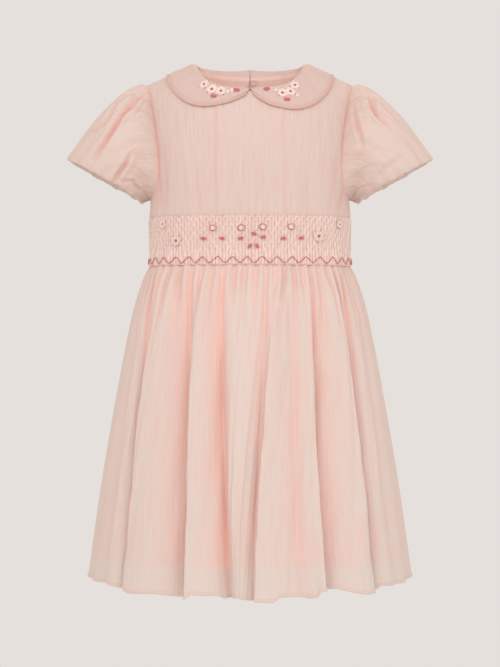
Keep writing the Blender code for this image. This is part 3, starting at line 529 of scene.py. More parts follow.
def body_normal(side, turn, over):
    step = 0.01
    across = body_point(side, turn + step, over) - body_point(side, turn - step, over)
    down = body_point(side, turn, over + step)
    down = down - body_point(side, turn, np.maximum(over - step, 0.001))
    normal = unit(np.cross(down, across))
    facing = normal[..., 1] * side + 0.2 * normal[..., 2] > 0
    return np.where(facing[..., None], normal, -normal)


def armhole_place(side, degrees):
    return body_place(side, value_at(ARMHOLE, "x", degrees), value_at(ARMHOLE, "height", degrees))


def neck_place(side, degrees):
    table = NECK_TABLE[side]
    return body_place(side, value_at(table, "x", degrees), value_at(table, "height", degrees))


def top_place(side, u):
    """Top edge of a bodice half: the shoulder seam from u = 1 down to the neck, then the neck."""
    x = mix(NECK_POINT_X, SHOULDER_TIP_X, (u - NECK_SHARE) / (1.0 - NECK_SHARE))
    shoulder, _ = body_place(side, x, shoulder_height(x))
    turn, over = neck_place(side, 90.0 * (1.0 - u / NECK_SHARE))
    return np.where(u > NECK_SHARE, shoulder, turn), np.where(u > NECK_SHARE, 0.0, over)


def bottom_place(side, u):
    turn = u * math.pi / 2
    x, _ = oval(value_at(TORSO, "half_width", WAIST_TOP), 1.0, BODY_ROUNDNESS, turn)
    return turn, body_place(side, x, WAIST_TOP)[1]


def side_place(side, v):
    """Outer edge of a bodice half: the armhole, then the side seam."""
    turn, over = armhole_place(side, 180.0 * v / ARMHOLE_SHARE)
    height = mix(ARMHOLE[-1].height, WAIST_TOP, (v - ARMHOLE_SHARE) / (1.0 - ARMHOLE_SHARE))
    _, low = body_place(side, value_at(TORSO, "half_width", height), height)
    above = v <= ARMHOLE_SHARE
    return np.where(above, turn, math.pi / 2), np.where(above, over, low)


def centre_place(side, v):
    top = neck_place(side, 90.0)[1]
    return 0.0 * v, mix(top, bottom_place(side, 0.0)[1], v)


def bodice_place(side, u, v):
    """A place on a bodice half, blended between its four edges (u 0 centre, 1 side; v down)."""
    place = []
    for k in range(2):
        across = mix(centre_place(side, v)[k], side_place(side, v)[k], u)
        down = mix(top_place(side, u)[k], bottom_place(side, u)[k], v)
        corners_top = mix(top_place(side, 0.0)[k], top_place(side, 1.0)[k], u)
        corners_low = mix(bottom_place(side, 0.0)[k], bottom_place(side, 1.0)[k], u)
        place.append(across + down - mix(corners_top, corners_low, v))
    return np.stack((place[0] * TURN_REACH, place[1] * SHOULDER_ROUND[side]), axis=-1)


def bodice_half(side):
    """Turn and over of a bodice half's grid, evened out so that no row or column folds over."""
    u = np.linspace(0.0, 1.0, BODICE_COLUMNS + 1)[None, :]
    place = bodice_place(side, u, np.linspace(0.0, 1.0, BODICE_ROWS + 1)[:, None])
    for _ in range(EVENING_STEPS):
        left, right = place[1:-1, :-2], place[1:-1, 2:]
        above, below = place[:-2, 1:-1], place[2:, 1:-1]
        skew = place[2:, 2:] - place[2:, :-2] - place[:-2, 2:] + place[:-2, :-2]
        across, down = (right - left) / 2.0, (below - above) / 2.0
        wide = (across ** 2).sum(axis=-1, keepdims=True)
        long = (down ** 2).sum(axis=-1, keepdims=True)
        both = (across * down).sum(axis=-1, keepdims=True)
        total = (left + right) * long + (above + below) * wide - skew * both / 2.0
        place[1:-1, 1:-1] = total / (2.0 * (wide + long))
    return place[..., 0] / TURN_REACH, place[..., 1] / SHOULDER_ROUND[side]


def edge_distances(grid):
    """Lengths of cloth from each point to the grid's left, right, top and bottom edges."""
    across = np.linalg.norm(np.diff(grid, axis=1), axis=2)
    down = np.linalg.norm(np.diff(grid, axis=0), axis=2)
    left = np.concatenate((np.zeros((len(grid), 1)), np.cumsum(across, axis=1)), axis=1)
    top = np.concatenate((np.zeros((1, grid.shape[1])), np.cumsum(down, axis=0)))
    return left, left[:, -1:] - left, top, top[-1:] - top


def body_arc(turn):
    """Length of cloth round the chest from the centre line to each turn."""
    steps = np.linspace(0.0, math.pi / 2, 200)
    x, y = oval(*CHEST, BODY_ROUNDNESS, steps)
    length = running(np.hypot(np.diff(x), np.diff(y)))
    return np.copysign(np.interp(np.abs(turn), steps, length), turn)


def crease_depth(x, z, path, width, depth, lip=0.0):
    """Depth of a soft crease through the points of path, as seen from the front, with a lip that
    stands up on both of its sides."""
    points = np.array(path, float)
    best = np.full(np.shape(x), 1e9)
    along = np.zeros(np.shape(x))
    lengths = np.hypot(*(points[1:] - points[:-1]).T)
    total = lengths.sum()
    done = 0.0
    for start, end, length in zip(points[:-1], points[1:], lengths):
        line = end - start
        t = np.clip(((x - start[0]) * line[0] + (z - start[1]) * line[1]) / length ** 2, 0.0, 1.0)
        away = np.hypot(x - start[0] - line[0] * t, z - start[1] - line[1] * t)
        along = np.where(away < best, (done + t * length) / total, along)
        best = np.minimum(best, away)
        done += length
    fade = np.sin(math.pi * np.clip(0.08 + 0.84 * along, 0.0, 1.0)) ** 0.7
    return depth * fade * (near(best, 0.0, width) - lip * near(best, 1.9 * width, 0.9 * width))


def add_mesh(name, points, faces, material, uv=None, painted_shade=None, wall=0.0):
    """A named piece that rides on the dress, from points in millimetres."""
    mesh = bpy.data.meshes.new(name)
    mesh.from_pydata((np.asarray(points) * MM).tolist(), [], faces)
    if uv is not None:
        layer = mesh.uv_layers.new(name="cloth")
        layer.data.foreach_set("uv", (np.asarray(uv) * MM).ravel())
    # The painted shade of each point, which the cloth's colour ramp reads
    if painted_shade is not None:
        attribute = mesh.attributes.new("painted_shade", "FLOAT", "POINT")
        attribute.data.foreach_set("value", np.asarray(painted_shade, float).ravel())
    mesh.materials.append(material)
    mesh.update()
    mesh.shade_smooth()
    piece = bpy.data.objects.new(name, mesh)
    bpy.context.scene.collection.objects.link(piece)
    if wall:
        edges = np.empty(len(mesh.loops), np.int32)
        mesh.loops.foreach_get("edge_index", edges)
        mesh.edges.foreach_set("use_edge_sharp", np.bincount(edges, minlength=len(mesh.edges)) == 1)
        thicken = piece.modifiers.new("Wall", "SOLIDIFY")
        thicken.thickness = wall * MM
        thicken.offset = -1.0
    return piece


def attach(piece, stands_for=None):
    """The piece rides on the dress and may stand for a CAD node."""
    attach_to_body(piece, "root")
    if stands_for:
        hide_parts(stands_for)
    return piece


def add_cloth(name, grid, material, uv=None, painted_shade=None, closed=False, wall=CLOTH_WALL):
    """A sheet of cloth through a grid of points.  It stands for the CAD node of its name."""
    rows, columns, _ = grid.shape
    number = np.arange(rows * columns).reshape(rows, columns)
    if closed:
        number = np.concatenate((number, number[:, :1]), axis=1)
    corners = (number[:-1, :-1], number[1:, :-1], number[1:, 1:], number[:-1, 1:])
    faces = np.stack(corners, axis=-1).reshape(-1, 4)
    if uv is None:
        uv = grid_lengths(grid, closed)
    uv = np.stack((uv[:-1, :-1], uv[1:, :-1], uv[1:, 1:], uv[:-1, 1:]), axis=2)
    if painted_shade is None:
        painted_shade = np.zeros((rows, columns))
    piece = add_mesh(name + "_cloth", grid.reshape(-1, 3), faces.tolist(), material, uv, painted_shade, wall)
    return attach(piece, name)


def grid_lengths(grid, closed=False):
    """Cloth coordinates: length along the longest row, and the mean length down the columns."""
    loop = np.concatenate((grid, grid[:, :1]), axis=1) if closed else grid
    across = np.linalg.norm(np.diff(loop, axis=1), axis=2)
    longest = across[np.argmax(across.sum(axis=1))]
    down = np.linalg.norm(np.diff(grid, axis=0), axis=2).mean(axis=1)
    return np.stack(np.meshgrid(running(longest), -running(down)), axis=-1)


class Threads:
    """Many small tubes, such as stitches, joined in one mesh."""

    def __init__(self):
        self.points = []
        self.faces = []
        self.count = 0

    def add(self, path, radius, up, sides=6, flat=1.0, taper=0.45, coils=0.0):
        """A tube along path; up is the way out of the cloth, and coils are ridges around it."""
        path = np.asarray(path, float)
        tangent = unit(np.gradient(path, axis=0))
        aside = unit(np.cross(tangent, np.broadcast_to(up, path.shape)))
        above = np.cross(aside, tangent)
        share = np.linspace(0.0, 1.0, len(path))
        radii = radius * (1.0 - (1.0 - taper) * np.abs(2.0 * share - 1.0) ** 4)
        if coils:
            radii = radii * (0.86 + 0.2 * np.abs(np.sin(math.pi * coils * share)))
        turns = 2.0 * math.pi * np.arange(sides) / sides
        ring = aside[:, None] * np.cos(turns)[:, None] + above[:, None] * np.sin(turns)[:, None] * flat
        self.points.append((path[:, None] + ring * radii[:, None, None]).reshape(-1, 3))
        base = self.count
        for i in range(len(path) - 1):
            for j in range(sides):
                k = (j + 1) % sides
                a, b = base + i * sides, base + (i + 1) * sides
                self.faces.append((a + j, a + k, b + k, b + j))
        self.faces.append(tuple(base + j for j in range(sides))[::-1])
        self.faces.append(tuple(base + (len(path) - 1) * sides + j for j in range(sides)))
        self.count += len(path) * sides

    def stitch(self, start, end, up, radius=0.22, arch=0.3, steps=5):
        """One straight stitch that rises a little out of the cloth."""
        t = np.linspace(0.0, 1.0, steps)[:, None]
        path = mix(np.asarray(start), np.asarray(end), t)
        path = path + np.asarray(up) * (arch * 4.0 * t * (1.0 - t) - 0.1)
        self.add(path, radius, up, sides=5, taper=0.6)

    def seam(self, path, up, length, gap, radius=0.2, arch=0.28):
        """A row of stitches along a path of points, with the way out at each point."""
        path, up = np.asarray(path, float), np.asarray(up, float)
        far = running(np.linalg.norm(np.diff(path, axis=0), axis=1))
        for k in range(int(far[-1] / (length + gap))):
            ends = [(k * (length + gap) + part) for part in (0.0, length)]
            a, b = (np.array([np.interp(s, far, path[:, c]) for c in range(3)]) for s in ends)
            out = np.array([np.interp(sum(ends) / 2.0, far, up[:, c]) for c in range(3)])
            self.stitch(a, b, unit(out), radius, arch, steps=4)

    def build(self, name, material, slot):
        return attach(add_mesh(name, np.concatenate(self.points), self.faces, material))


def add_bar(name, path, out, up, section, material):
    """A bar along a path, such as a rolled hem or a cord, with a section of (out, up) points."""
    points = np.stack([path + out * across + up * high for across, high in section], axis=1)
    points = points.reshape(-1, 3)
    sides, count = len(section), len(path)
    faces = []
    for i in range(count - 1):
        a, b = i * sides, (i + 1) * sides
        for j in range(sides):
            k = (j + 1) % sides
            faces.append((a + j, b + j, b + k, a + k))
    faces.append(tuple(range(sides)))
    faces.append(tuple(range((count - 1) * sides, count * sides))[::-1])
    lengths = running(np.linalg.norm(np.diff(path, axis=0), axis=1))
    uv = [(lengths[corner // sides], BAR_SIDE * (corner % sides)) for face in faces for corner in face]
    return attach(add_mesh(name, points, faces, material, np.array(uv)))


def linear(red, green, blue):
    """A colour as a screen shows it (0 to 255), as the linear values that shaders take."""
    colour = []
    for value in (red, green, blue):
        share = value / 255.0
        colour.append(share / 12.92 if share <= 0.04045 else ((share + 0.055) / 1.055) ** 2.4)
    return (*colour, 1.0)


# Fineness across and down the cloth, detail and roughness of its crinkles, waves, patches, threads
CLOTH_NOISES = (
    (430.0, 24.0, 3.0, 0.6),
    (170.0, 10.0, 2.0),
    (22.0, 9.0, 2.0),
    (1900.0, 1700.0, 1.0),
)
CRINKLE_TINT = 1.2
WAVE_TINT = 0.25
WEAVE = 0.35


def new_material(name, roughness, sheen=0.0, sheen_colour=(1, 1, 1)):
    made = bpy.data.materials.new(name)
    made.use_nodes = True
    shader = made.node_tree.nodes["Principled BSDF"]
    shader.inputs["Roughness"].default_value = roughness
    shader.inputs["Specular IOR Level"].default_value = 0.25
    if sheen:
        shader.inputs["Sheen Weight"].default_value = sheen
        shader.inputs["Sheen Roughness"].default_value = 0.45
        shader.inputs["Sheen Tint"].default_value = (*sheen_colour, 1.0)
    return made, made.node_tree, shader


def node(tree, kind, **values):
    """A shader node with settings, and with input values under their names (spaces as _)."""
    made = tree.nodes.new(kind)
    for key, value in values.items():
        if hasattr(made, key):
            setattr(made, key, value)
        else:
            made.inputs[key.replace("_", " ")].default_value = value
    return made


def stretched_noise(tree, coordinates, scale_u, scale_v, detail=2.0, roughness=0.5):
    """Noise over the cloth coordinates, with its own fineness across and down the cloth."""
    mapping = node(tree, "ShaderNodeMapping", Scale=(scale_u, scale_v, 1.0))
    tree.links.new(coordinates, mapping.inputs["Vector"])
    noise = node(tree, "ShaderNodeTexNoise", Scale=1.0, Detail=detail, Roughness=roughness)
    tree.links.new(mapping.outputs["Vector"], noise.inputs["Vector"])
    return noise.outputs["Fac"]


def ramp(tree, factor, stops):
    made = node(tree, "ShaderNodeValToRGB")
    while len(made.color_ramp.elements) < len(stops):
        made.color_ramp.elements.new(0.5)
    for element, (position, colour) in zip(made.color_ramp.elements, stops):
        element.position = position
        element.color = colour
    tree.links.new(factor, made.inputs["Fac"])
    return made.outputs["Color"]


def scaled_sum(tree, parts):
    """Several values, each times its weight, added up."""
    total = None
    for value, weight in parts:
        made = node(tree, "ShaderNodeMath", operation="MULTIPLY_ADD")
        tree.links.new(value, made.inputs[0])
        made.inputs[1].default_value = weight
        if total is not None:
            tree.links.new(total, made.inputs[2])
        else:
            made.inputs[2].default_value = 0.0
        total = made.outputs[0]
    return total


def cloth_material(name, light, middle, shaded_colour, crinkle=1.0, sheer=None):
    """Crinkled gauze: its colour runs from the crests into painted shade, darker and pinker, in the folds'
    valleys and along seams and creases, and fine crinkles run down the cloth."""
    made, tree, shader = new_material(name, 0.86, 0.18, (1.0, 0.86, 0.8))
    uv = node(tree, "ShaderNodeUVMap", uv_map="cloth").outputs["UV"]
    painted_shade = node(tree, "ShaderNodeAttribute", attribute_name="painted_shade").outputs["Fac"]
    crinkles, waves, patches, threads = (stretched_noise(tree, uv, *noise) for noise in CLOTH_NOISES)
    # Painted shade, with random tone from the crinkles, waves and patches, picks the colour on the ramp
    depth = scaled_sum(tree, ((painted_shade, 1.0), (crinkles, CRINKLE_TINT * crinkle), (waves, WAVE_TINT),
                              (patches, WAVE_TINT)))
    shifted = node(tree, "ShaderNodeMath", operation="SUBTRACT")
    shifted.inputs[1].default_value = (CRINKLE_TINT * crinkle + 2.0 * WAVE_TINT) / 2.0
    tree.links.new(depth, shifted.inputs[0])
    colour = ramp(tree, shifted.outputs[0], ((0.0, light), (0.45, middle), (1.0, shaded_colour)))
    if sheer is not None:
        colour = sheer(tree, colour)
    tree.links.new(colour, shader.inputs["Base Color"])
    relief = ((crinkles, 0.8 * crinkle), (waves, 0.9 * crinkle), (threads, 0.16 * WEAVE))
    height = scaled_sum(tree, relief)
    bump = node(tree, "ShaderNodeBump", Strength=0.6, Distance=0.0013)
    tree.links.new(height, bump.inputs["Height"])
    tree.links.new(bump.outputs["Normal"], shader.inputs["Normal"])
    return made


def thread_material(name, colour, dark, roughness=0.55, fineness=900.0):
    """Twisted embroidery thread."""
    made, tree, shader = new_material(name, roughness, 0.25)
    place = node(tree, "ShaderNodeTexCoord").outputs["Object"]
    mapping = node(tree, "ShaderNodeMapping", Rotation=(0.5, 0.4, 0.6), Scale=(fineness,) * 3)
    tree.links.new(place, mapping.inputs["Vector"])
    wave = node(tree, "ShaderNodeTexWave", Scale=0.6, Distortion=2.0, Detail=1.0)
    tree.links.new(mapping.outputs["Vector"], wave.inputs["Vector"])
    colours = ramp(tree, wave.outputs["Fac"], ((0.0, dark), (0.6, colour)))
    tree.links.new(colours, shader.inputs["Base Color"])
    bump = node(tree, "ShaderNodeBump", Strength=0.4, Distance=0.0002)
    tree.links.new(wave.outputs["Fac"], bump.inputs["Height"])
    tree.links.new(bump.outputs["Normal"], shader.inputs["Normal"])
    return made


def button_material():
    made, tree, shader = new_material("pearl", 0.22)
    shader.inputs["Coat Weight"].default_value = 0.6
    shader.inputs["Coat Roughness"].default_value = 0.15
    place = node(tree, "ShaderNodeTexCoord").outputs["Object"]
    mapping = node(tree, "ShaderNodeMapping", Scale=(160.0, 420.0, 160.0))
    tree.links.new(place, mapping.inputs["Vector"])
    noise = node(tree, "ShaderNodeTexNoise", Scale=1.0, Detail=4.0, Distortion=1.2)
    tree.links.new(mapping.outputs["Vector"], noise.inputs["Vector"])
    pearl = ((0.3, linear(226, 196, 186)), (0.5, linear(240, 214, 205)), (0.7, linear(232, 200, 196)))
    tree.links.new(ramp(tree, noise.outputs["Fac"], pearl), shader.inputs["Base Color"])
    return made


def sheer_hem(tree, colour):
    """Below the lining the single layer of gauze looks paler and greyer."""
    place = node(tree, "ShaderNodeTexCoord").outputs["Object"]
    split = node(tree, "ShaderNodeSeparateXYZ")
    tree.links.new(place, split.inputs["Vector"])
    edge = node(tree, "ShaderNodeMapRange")
    lining_end = WAIST_BOTTOM - LINING_LENGTH
    for socket, value in (("From Min", (lining_end - 14.0) * MM), ("From Max", (lining_end - 4.0) * MM),
                          ("To Min", 0.6), ("To Max", 0.0)):
        edge.inputs[socket].default_value = value
    tree.links.new(split.outputs["Z"], edge.inputs["Value"])
    blend = node(tree, "ShaderNodeMix", data_type="RGBA")
    blend.inputs[7].default_value = linear(218, 204, 196)
    tree.links.new(edge.outputs["Result"], blend.inputs[0])
    tree.links.new(colour, blend.inputs[6])
    return blend.outputs[2]


# Cloth colours: lit on the crests, between them, and the painted shade of the folds' valleys, which also
# stands for the pinker gauze layered in the folds; then the strength of the crinkles
CLOTH, SLEEVE_CLOTH, SKIRT_CLOTH, COLLAR_CLOTH, SMOCKED, LIT_NECK_CLOTH, LINING, HEM_CLOTH = (
    cloth_material(name, linear(*light), linear(*middle), linear(*shaded_colour), *rest)
    for name, light, middle, shaded_colour, *rest in (
        ("cloth", (217, 198, 189), (218, 187, 179), (232, 186, 172), 1.0),
        ("sleeve_cloth", (216, 198, 188), (224, 190, 181), (228, 178, 168), 1.2),
        ("skirt_cloth", (219, 203, 194), (228, 193, 184), (238, 198, 186), 1.15, sheer_hem),
        ("collar_cloth", (213, 187, 178), (210, 179, 171), (232, 186, 172), 0.6),
        ("smocked_cloth", (232, 213, 204), (227, 199, 191), (228, 178, 168), 0.4),
        # The neck binding's cloth is painted lighter than the bodice's to make up for the shade inside the
        # neck
        ("neck_cloth", (236, 208, 198), (230, 194, 183), (204, 146, 130), 0.3),
        ("lining_cloth", (224, 190, 180), (222, 180, 168), (196, 134, 118), 0.3),
        ("hem_cloth", (222, 200, 190), (222, 191, 181), (232, 186, 172), 0.5),
    )
)
# Thread colours, light and dark, and where they differ the roughness and the fineness of the twist
PIPING_CLOTH, SEWING, CREAM, PALE, ROSE, ZIGZAG = (
    thread_material(name, linear(*light), linear(*dark), *rest)
    for name, light, dark, *rest in (
        ("piping_cloth", (220, 182, 170), (202, 156, 144), 0.6, 500.0),
        ("sewing_thread", (226, 190, 176), (204, 160, 146)),
        ("cream_thread", (250, 236, 226), (236, 208, 196)),
        ("pale_rose_thread", (252, 238, 230), (240, 208, 200)),
        ("rose_thread", (216, 120, 130), (198, 96, 108)),
        ("zigzag_thread", (214, 118, 128), (196, 96, 108)),
    )
)
PEARL = button_material()


def make_bodice():
    """The bodice's front and back halves.  A half runs from the centre to the wearer's left."""
    for name, side in (("bodice_front", FRONT), ("bodice_back_left", BACK), ("bodice_back_right", BACK)):
        turn, over = bodice_half(side)
        if name == "bodice_front":
            turn = np.concatenate((-turn[:, :0:-1], turn), axis=1)
            over = np.concatenate((over[:, :0:-1], over), axis=1)
        elif name == "bodice_back_left":
            turn, over = turn[:, ::-1], over[:, ::-1]
        else:
            turn = -turn
        grid = body_point(side, turn, over)
        uv = np.stack((body_arc(turn), -over * SHOULDER_ROUND[side]), axis=-1)
        push, shade_mask = bodice_relief(side, name, grid)
        grid = grid + grid_normals(grid) * push[..., None]
        piece = add_cloth(name, grid, CLOTH, uv, shade_mask)


def bodice_relief(side, name, grid):
    """How far the bodice's cloth stands out, and its painted shade at the seams, beside the tucks and in
    the creases.
    """
    x, z = grid[..., 0], grid[..., 2]
    left, right, top, bottom = edge_distances(grid)
    sides = {"bodice_front": np.minimum(left, right), "bodice_back_left": left, "bodice_back_right": right}
    edge = np.minimum(sides[name], top)
    push = 0.45 * smooth(0.0, 4.0, edge) - 0.8 * near(bottom, 0.0, 2.2)
    # Painted shade along the seams at the edges and above the waistband
    shade_mask = 0.7 * near(edge, 0.0, 1.5) + 0.3 * near(bottom, 0.0, 1.6)
    if side == FRONT:
        for at in (-TUCK_X, TUCK_X):
            away = (x - at) * np.sign(at) + 0.8 * uneven(z / 90.0, at)
            push = push + TUCK_RISE * smooth(-5.0, 0.4, away) * smooth(2.6, 0.4, away)
            # Painted shadow beside the tuck
            shade_mask = shade_mask + 0.3 * near(away, 2.3, 1.5)
    flat_x = x if side == FRONT else np.abs(x)
    for crease in BODICE_CREASES if side == FRONT else BACK_CREASES:
        fold = crease_depth(flat_x, z, *crease)
        push = push - fold
        # Painted shade in the crease
        shade_mask = shade_mask + 0.2 * fold
    push = push + 0.45 * uneven(x / 26.0 + z / 300.0, 1.0) * smooth(-60.0, -150.0, z)
    push = push + 0.22 * uneven(x / 7.0 + 0.3 * uneven(z / 40.0, 3.0), 4.0) * smooth(0.0, 12.0, edge)
    return push, np.clip(shade_mask + 0.22, 0.0, 1.0)


def collar_turns(count):
    half = 90.0 * (1.0 - (1.0 - np.arange(count + 1) / count) ** 1.3)
    return [(FRONT, d) for d in half[::-1]] + [(BACK, d) for d in half[1:]]


def collar_place(side, degrees, share, mirror):
    column = "height_left" if mirror > 0 else "height_right"
    table = COLLAR_TABLE[side]
    edge = body_place(side, value_at(table, "x", degrees), value_at(table, column, degrees))
    neck = neck_place(side, degrees)
    turn = np.maximum(mix(neck[0], edge[0], share), 0.0001)
    return mirror * turn, mix(neck[1], edge[1], share)


def collar_lift(side, degrees, share):
    """How far the collar lies off the body, and how far it stands up."""
    near_neck = np.maximum(1.0 - share / ROLL_REACH, 0.0) ** 2
    roll = mix(SHOULDER_ROLL, COLLAR_ROLL[side], degrees / 90.0) * near_neck
    return COLLAR_CLEAR + COLLAR_WALL + roll, COLLAR_RISE[side] * degrees / 90.0 * near_neck


def collar_point(side, degrees, share, lift, mirror):
    turn, over = collar_place(side, degrees, share, mirror)
    point = body_point(side, turn, over) + body_normal(side, turn, over) * np.asarray(lift)[..., None]
    point[..., 0] = mirror * np.maximum(mirror * point[..., 0], COLLAR_CENTRE_X)
    return point


def stand_point(side, degrees, mirror):
    """The collar's inner edge, which turns down inside the neck seam."""
    neck = collar_point(side, degrees, 0.0, 0.0, mirror)
    inward = neck - collar_point(side, degrees, 0.08, 0.0, mirror)
    step = unit(np.array((-neck[0], -neck[1], 0.0))) + unit(inward)
    reach = mix(SHOULDER_STAND, STAND_REACH, min(degrees / SHOULDER_STAND_TURN, 1.0))
    base = neck + unit(step) * reach
    base = base - body_normal(side, *collar_place(side, degrees, 0.0, mirror)) * 0.6
    base[0] = mirror * max(mirror * base[0], COLLAR_CENTRE_X)
    return base


def collar_grid(mirror):
    """A collar half from the stand inside the neck, over the roll, to its outer edge."""
    shares = np.concatenate((np.linspace(0.0, ROLL_REACH, 15), np.linspace(0.43, 1.0, 24)))
    columns = []
    for side, degrees in collar_turns(COLLAR_STEPS):
        base = stand_point(side, degrees, mirror)
        lift, rise = collar_lift(side, degrees, shares)
        line = collar_point(side, degrees, shares, lift, mirror)
        line[:, 2] += rise
        line[0] = mix(line[0], base, 0.3)
        arc = mix(base, line[0], np.linspace(0.0, 1.0, 6)[:-1, None])
        columns.append(np.concatenate((arc, line)))
    grid = np.stack(columns, axis=1)
    return grid if mirror > 0 else grid[:, ::-1]


def make_collar():
    """Both halves of the round collar, each with a corded edge and a line of stitches."""
    stitches = Threads()
    for name, mirror in (("left", 1), ("right", -1)):
        grid = collar_grid(mirror)
        out = grid_normals(grid)
        left, right, top, bottom = edge_distances(grid)
        groove = near(bottom, COLLAR_SEAM, 0.8)
        edge = near(bottom, 0.0, 0.9) + 0.6 * near(np.minimum(left, right), 0.0, 1.2)
        ripple = 0.3 * uneven(left / 34.0, mirror) * smooth(0.0, 25.0, top)
        puff = 0.35 * near(bottom, 1.3, 0.9)
        grid = grid + out * (ripple + puff - 0.45 * groove - 0.3 * edge)[..., None]
        # Painted shade in the stitched groove and along the collar's edges
        shade_mask = 0.12 + 0.55 * groove + 0.3 * edge
        piece = add_cloth("collar_" + name, grid, COLLAR_CLOTH, None, shade_mask, wall=1.1)
        COLLAR_SURFACES[name] = (grid, grid_normals(grid))
        row = np.argmin(np.abs(bottom - COLLAR_SEAM), axis=0)
        columns = np.arange(grid.shape[1])
        stitches.seam(grid[row, columns][2:-2], out[row, columns][2:-2], 2.0, 0.7, 0.18, 0.3)
        add_piping(name, mirror)
    stitches.build("collar_stitches", SEWING, "collar")


def add_piping(name, mirror):
    """The cord along a collar half's outer edge, resting on the bodice."""
    turns = collar_turns(COLLAR_STEPS)
    edge = np.array([collar_point(side, degrees, 1.0, COLLAR_CLEAR + PIPING_RADIUS + 0.2, mirror)
                     for side, degrees in turns])
    up = np.array([body_normal(side, *collar_place(side, degrees, 1.0, mirror)) for side, degrees in turns])
    out = unit(np.cross(unit(np.gradient(edge, axis=0)), up)) * mirror
    path = edge + out * (PIPING_RADIUS - 0.2)
    path[:, 0] = mirror * np.maximum(mirror * path[:, 0], PIPING_RADIUS + COLLAR_CENTRE_X)
    angles = 2.0 * math.pi * np.arange(12) / 12
    section = [(PIPING_RADIUS * math.cos(a), PIPING_RADIUS * math.sin(a)) for a in angles]
    piece = add_bar("collar_cord_" + name, path, out * mirror, up, section, PIPING_CLOTH)
    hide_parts("collar_piping_" + name)


def make_neck_binding():
    """The strip inside the back neck, from the collar's inner edge down, and the back opening."""
    stitches = Threads()
    for name, mirror in (("left", 1), ("right", -1)):
        degrees = np.linspace(BINDING_START, 90.0, 60)
        rows = [np.array([stand_point(BACK, d, mirror) for d in degrees])]
        ups = []
        for share in np.linspace(0.0, BINDING_DEPTH, 16):
            turn, over = collar_place(BACK, degrees, share, mirror)
            normal = body_normal(BACK, turn, over)
            inside = BINDING_INSIDE - 1.1 * (1.0 - smooth(0.0, 0.05, share))
            point = body_point(BACK, turn, over) - normal * inside
            point[:, 0] = mirror * np.maximum(mirror * point[:, 0], 0.25)
            rows.append(point)
            ups.append(-normal)
        grid = np.stack(rows)
        bottom = edge_distances(grid)[3]
        # Painted shade along the lower edge and at the opening down the middle
        shade_mask = 0.1 + 0.8 * near(bottom, 0.0, 0.6) + 0.7 * near(np.abs(grid[..., 0]), 0.0, 1.0)
        if mirror > 0:
            grid, shade_mask = grid[:, ::-1], shade_mask[:, ::-1]
        # The binding's cloth carries painted light against the neck's shade, and painted shade at its edge
        # and opening
        piece = add_cloth("neck_binding_" + name, grid, LIT_NECK_CLOTH, None, shade_mask, wall=0.6)
        row = rows[-3]
        stitches.seam(row + ups[-3] * 0.15, ups[-3], 2.0, 0.9, 0.16, 0.25)
    (left, right), (top, low) = LOOP_X, LOOP_FALL
    for across, down in (((left, right), (top, top)), ((left, right), (low, low)),
                         ((right, right), (top, low)), ((left, left), (top, low))):
        ends = []
        for x, fall in zip(across, down):
            turn, over = body_place(BACK, x, NECK_TABLE[BACK][-1].height + LOOP_RISE - fall)
            normal = body_normal(BACK, np.array(turn), np.array(over))
            ends.append(body_point(BACK, turn, over) - normal * (BINDING_INSIDE + 0.8))
        stitches.stitch(ends[0], ends[1], -normal, 0.3, 0.1)
    stitches.build("binding_stitches", SEWING, "lining")


def ring_at(height, side, turn, out=0.0):
    half_width = value_at(TORSO, "half_width", height) + out
    x, y = oval(half_width, body_depth(side, height) + out, BODY_ROUNDNESS, turn)
    return np.stack(np.broadcast_arrays(x, side * y, height), axis=-1)


def turn_at_arc(arc):
    """The turn round the waist at which the cloth length from the centre is this."""
    steps = np.linspace(0.0, math.pi / 2, 400)
    x, y = oval(*WAIST, BODY_ROUNDNESS, steps)
    length = running(np.hypot(np.diff(x), np.diff(y)))
    return np.copysign(np.interp(np.abs(arc), length, steps), arc), length[-1]


WAIST_HALF_ARC = turn_at_arc(0.0)[1]
PLEAT = 2.0 * WAIST_HALF_ARC / SMOCK_PLEATS


def band_drops(rows):
    """Rows of a waistband as distances down from its top seam, and how near each is to an end."""
    drop = np.linspace(-BAND_OVERLAP_TOP, BAND_HEIGHT + BAND_OVERLAP_BOTTOM, rows)[:, None]
    return drop, near(drop, drop[0, 0], BAND_TURN) + near(drop, drop[-1, 0], BAND_TURN)


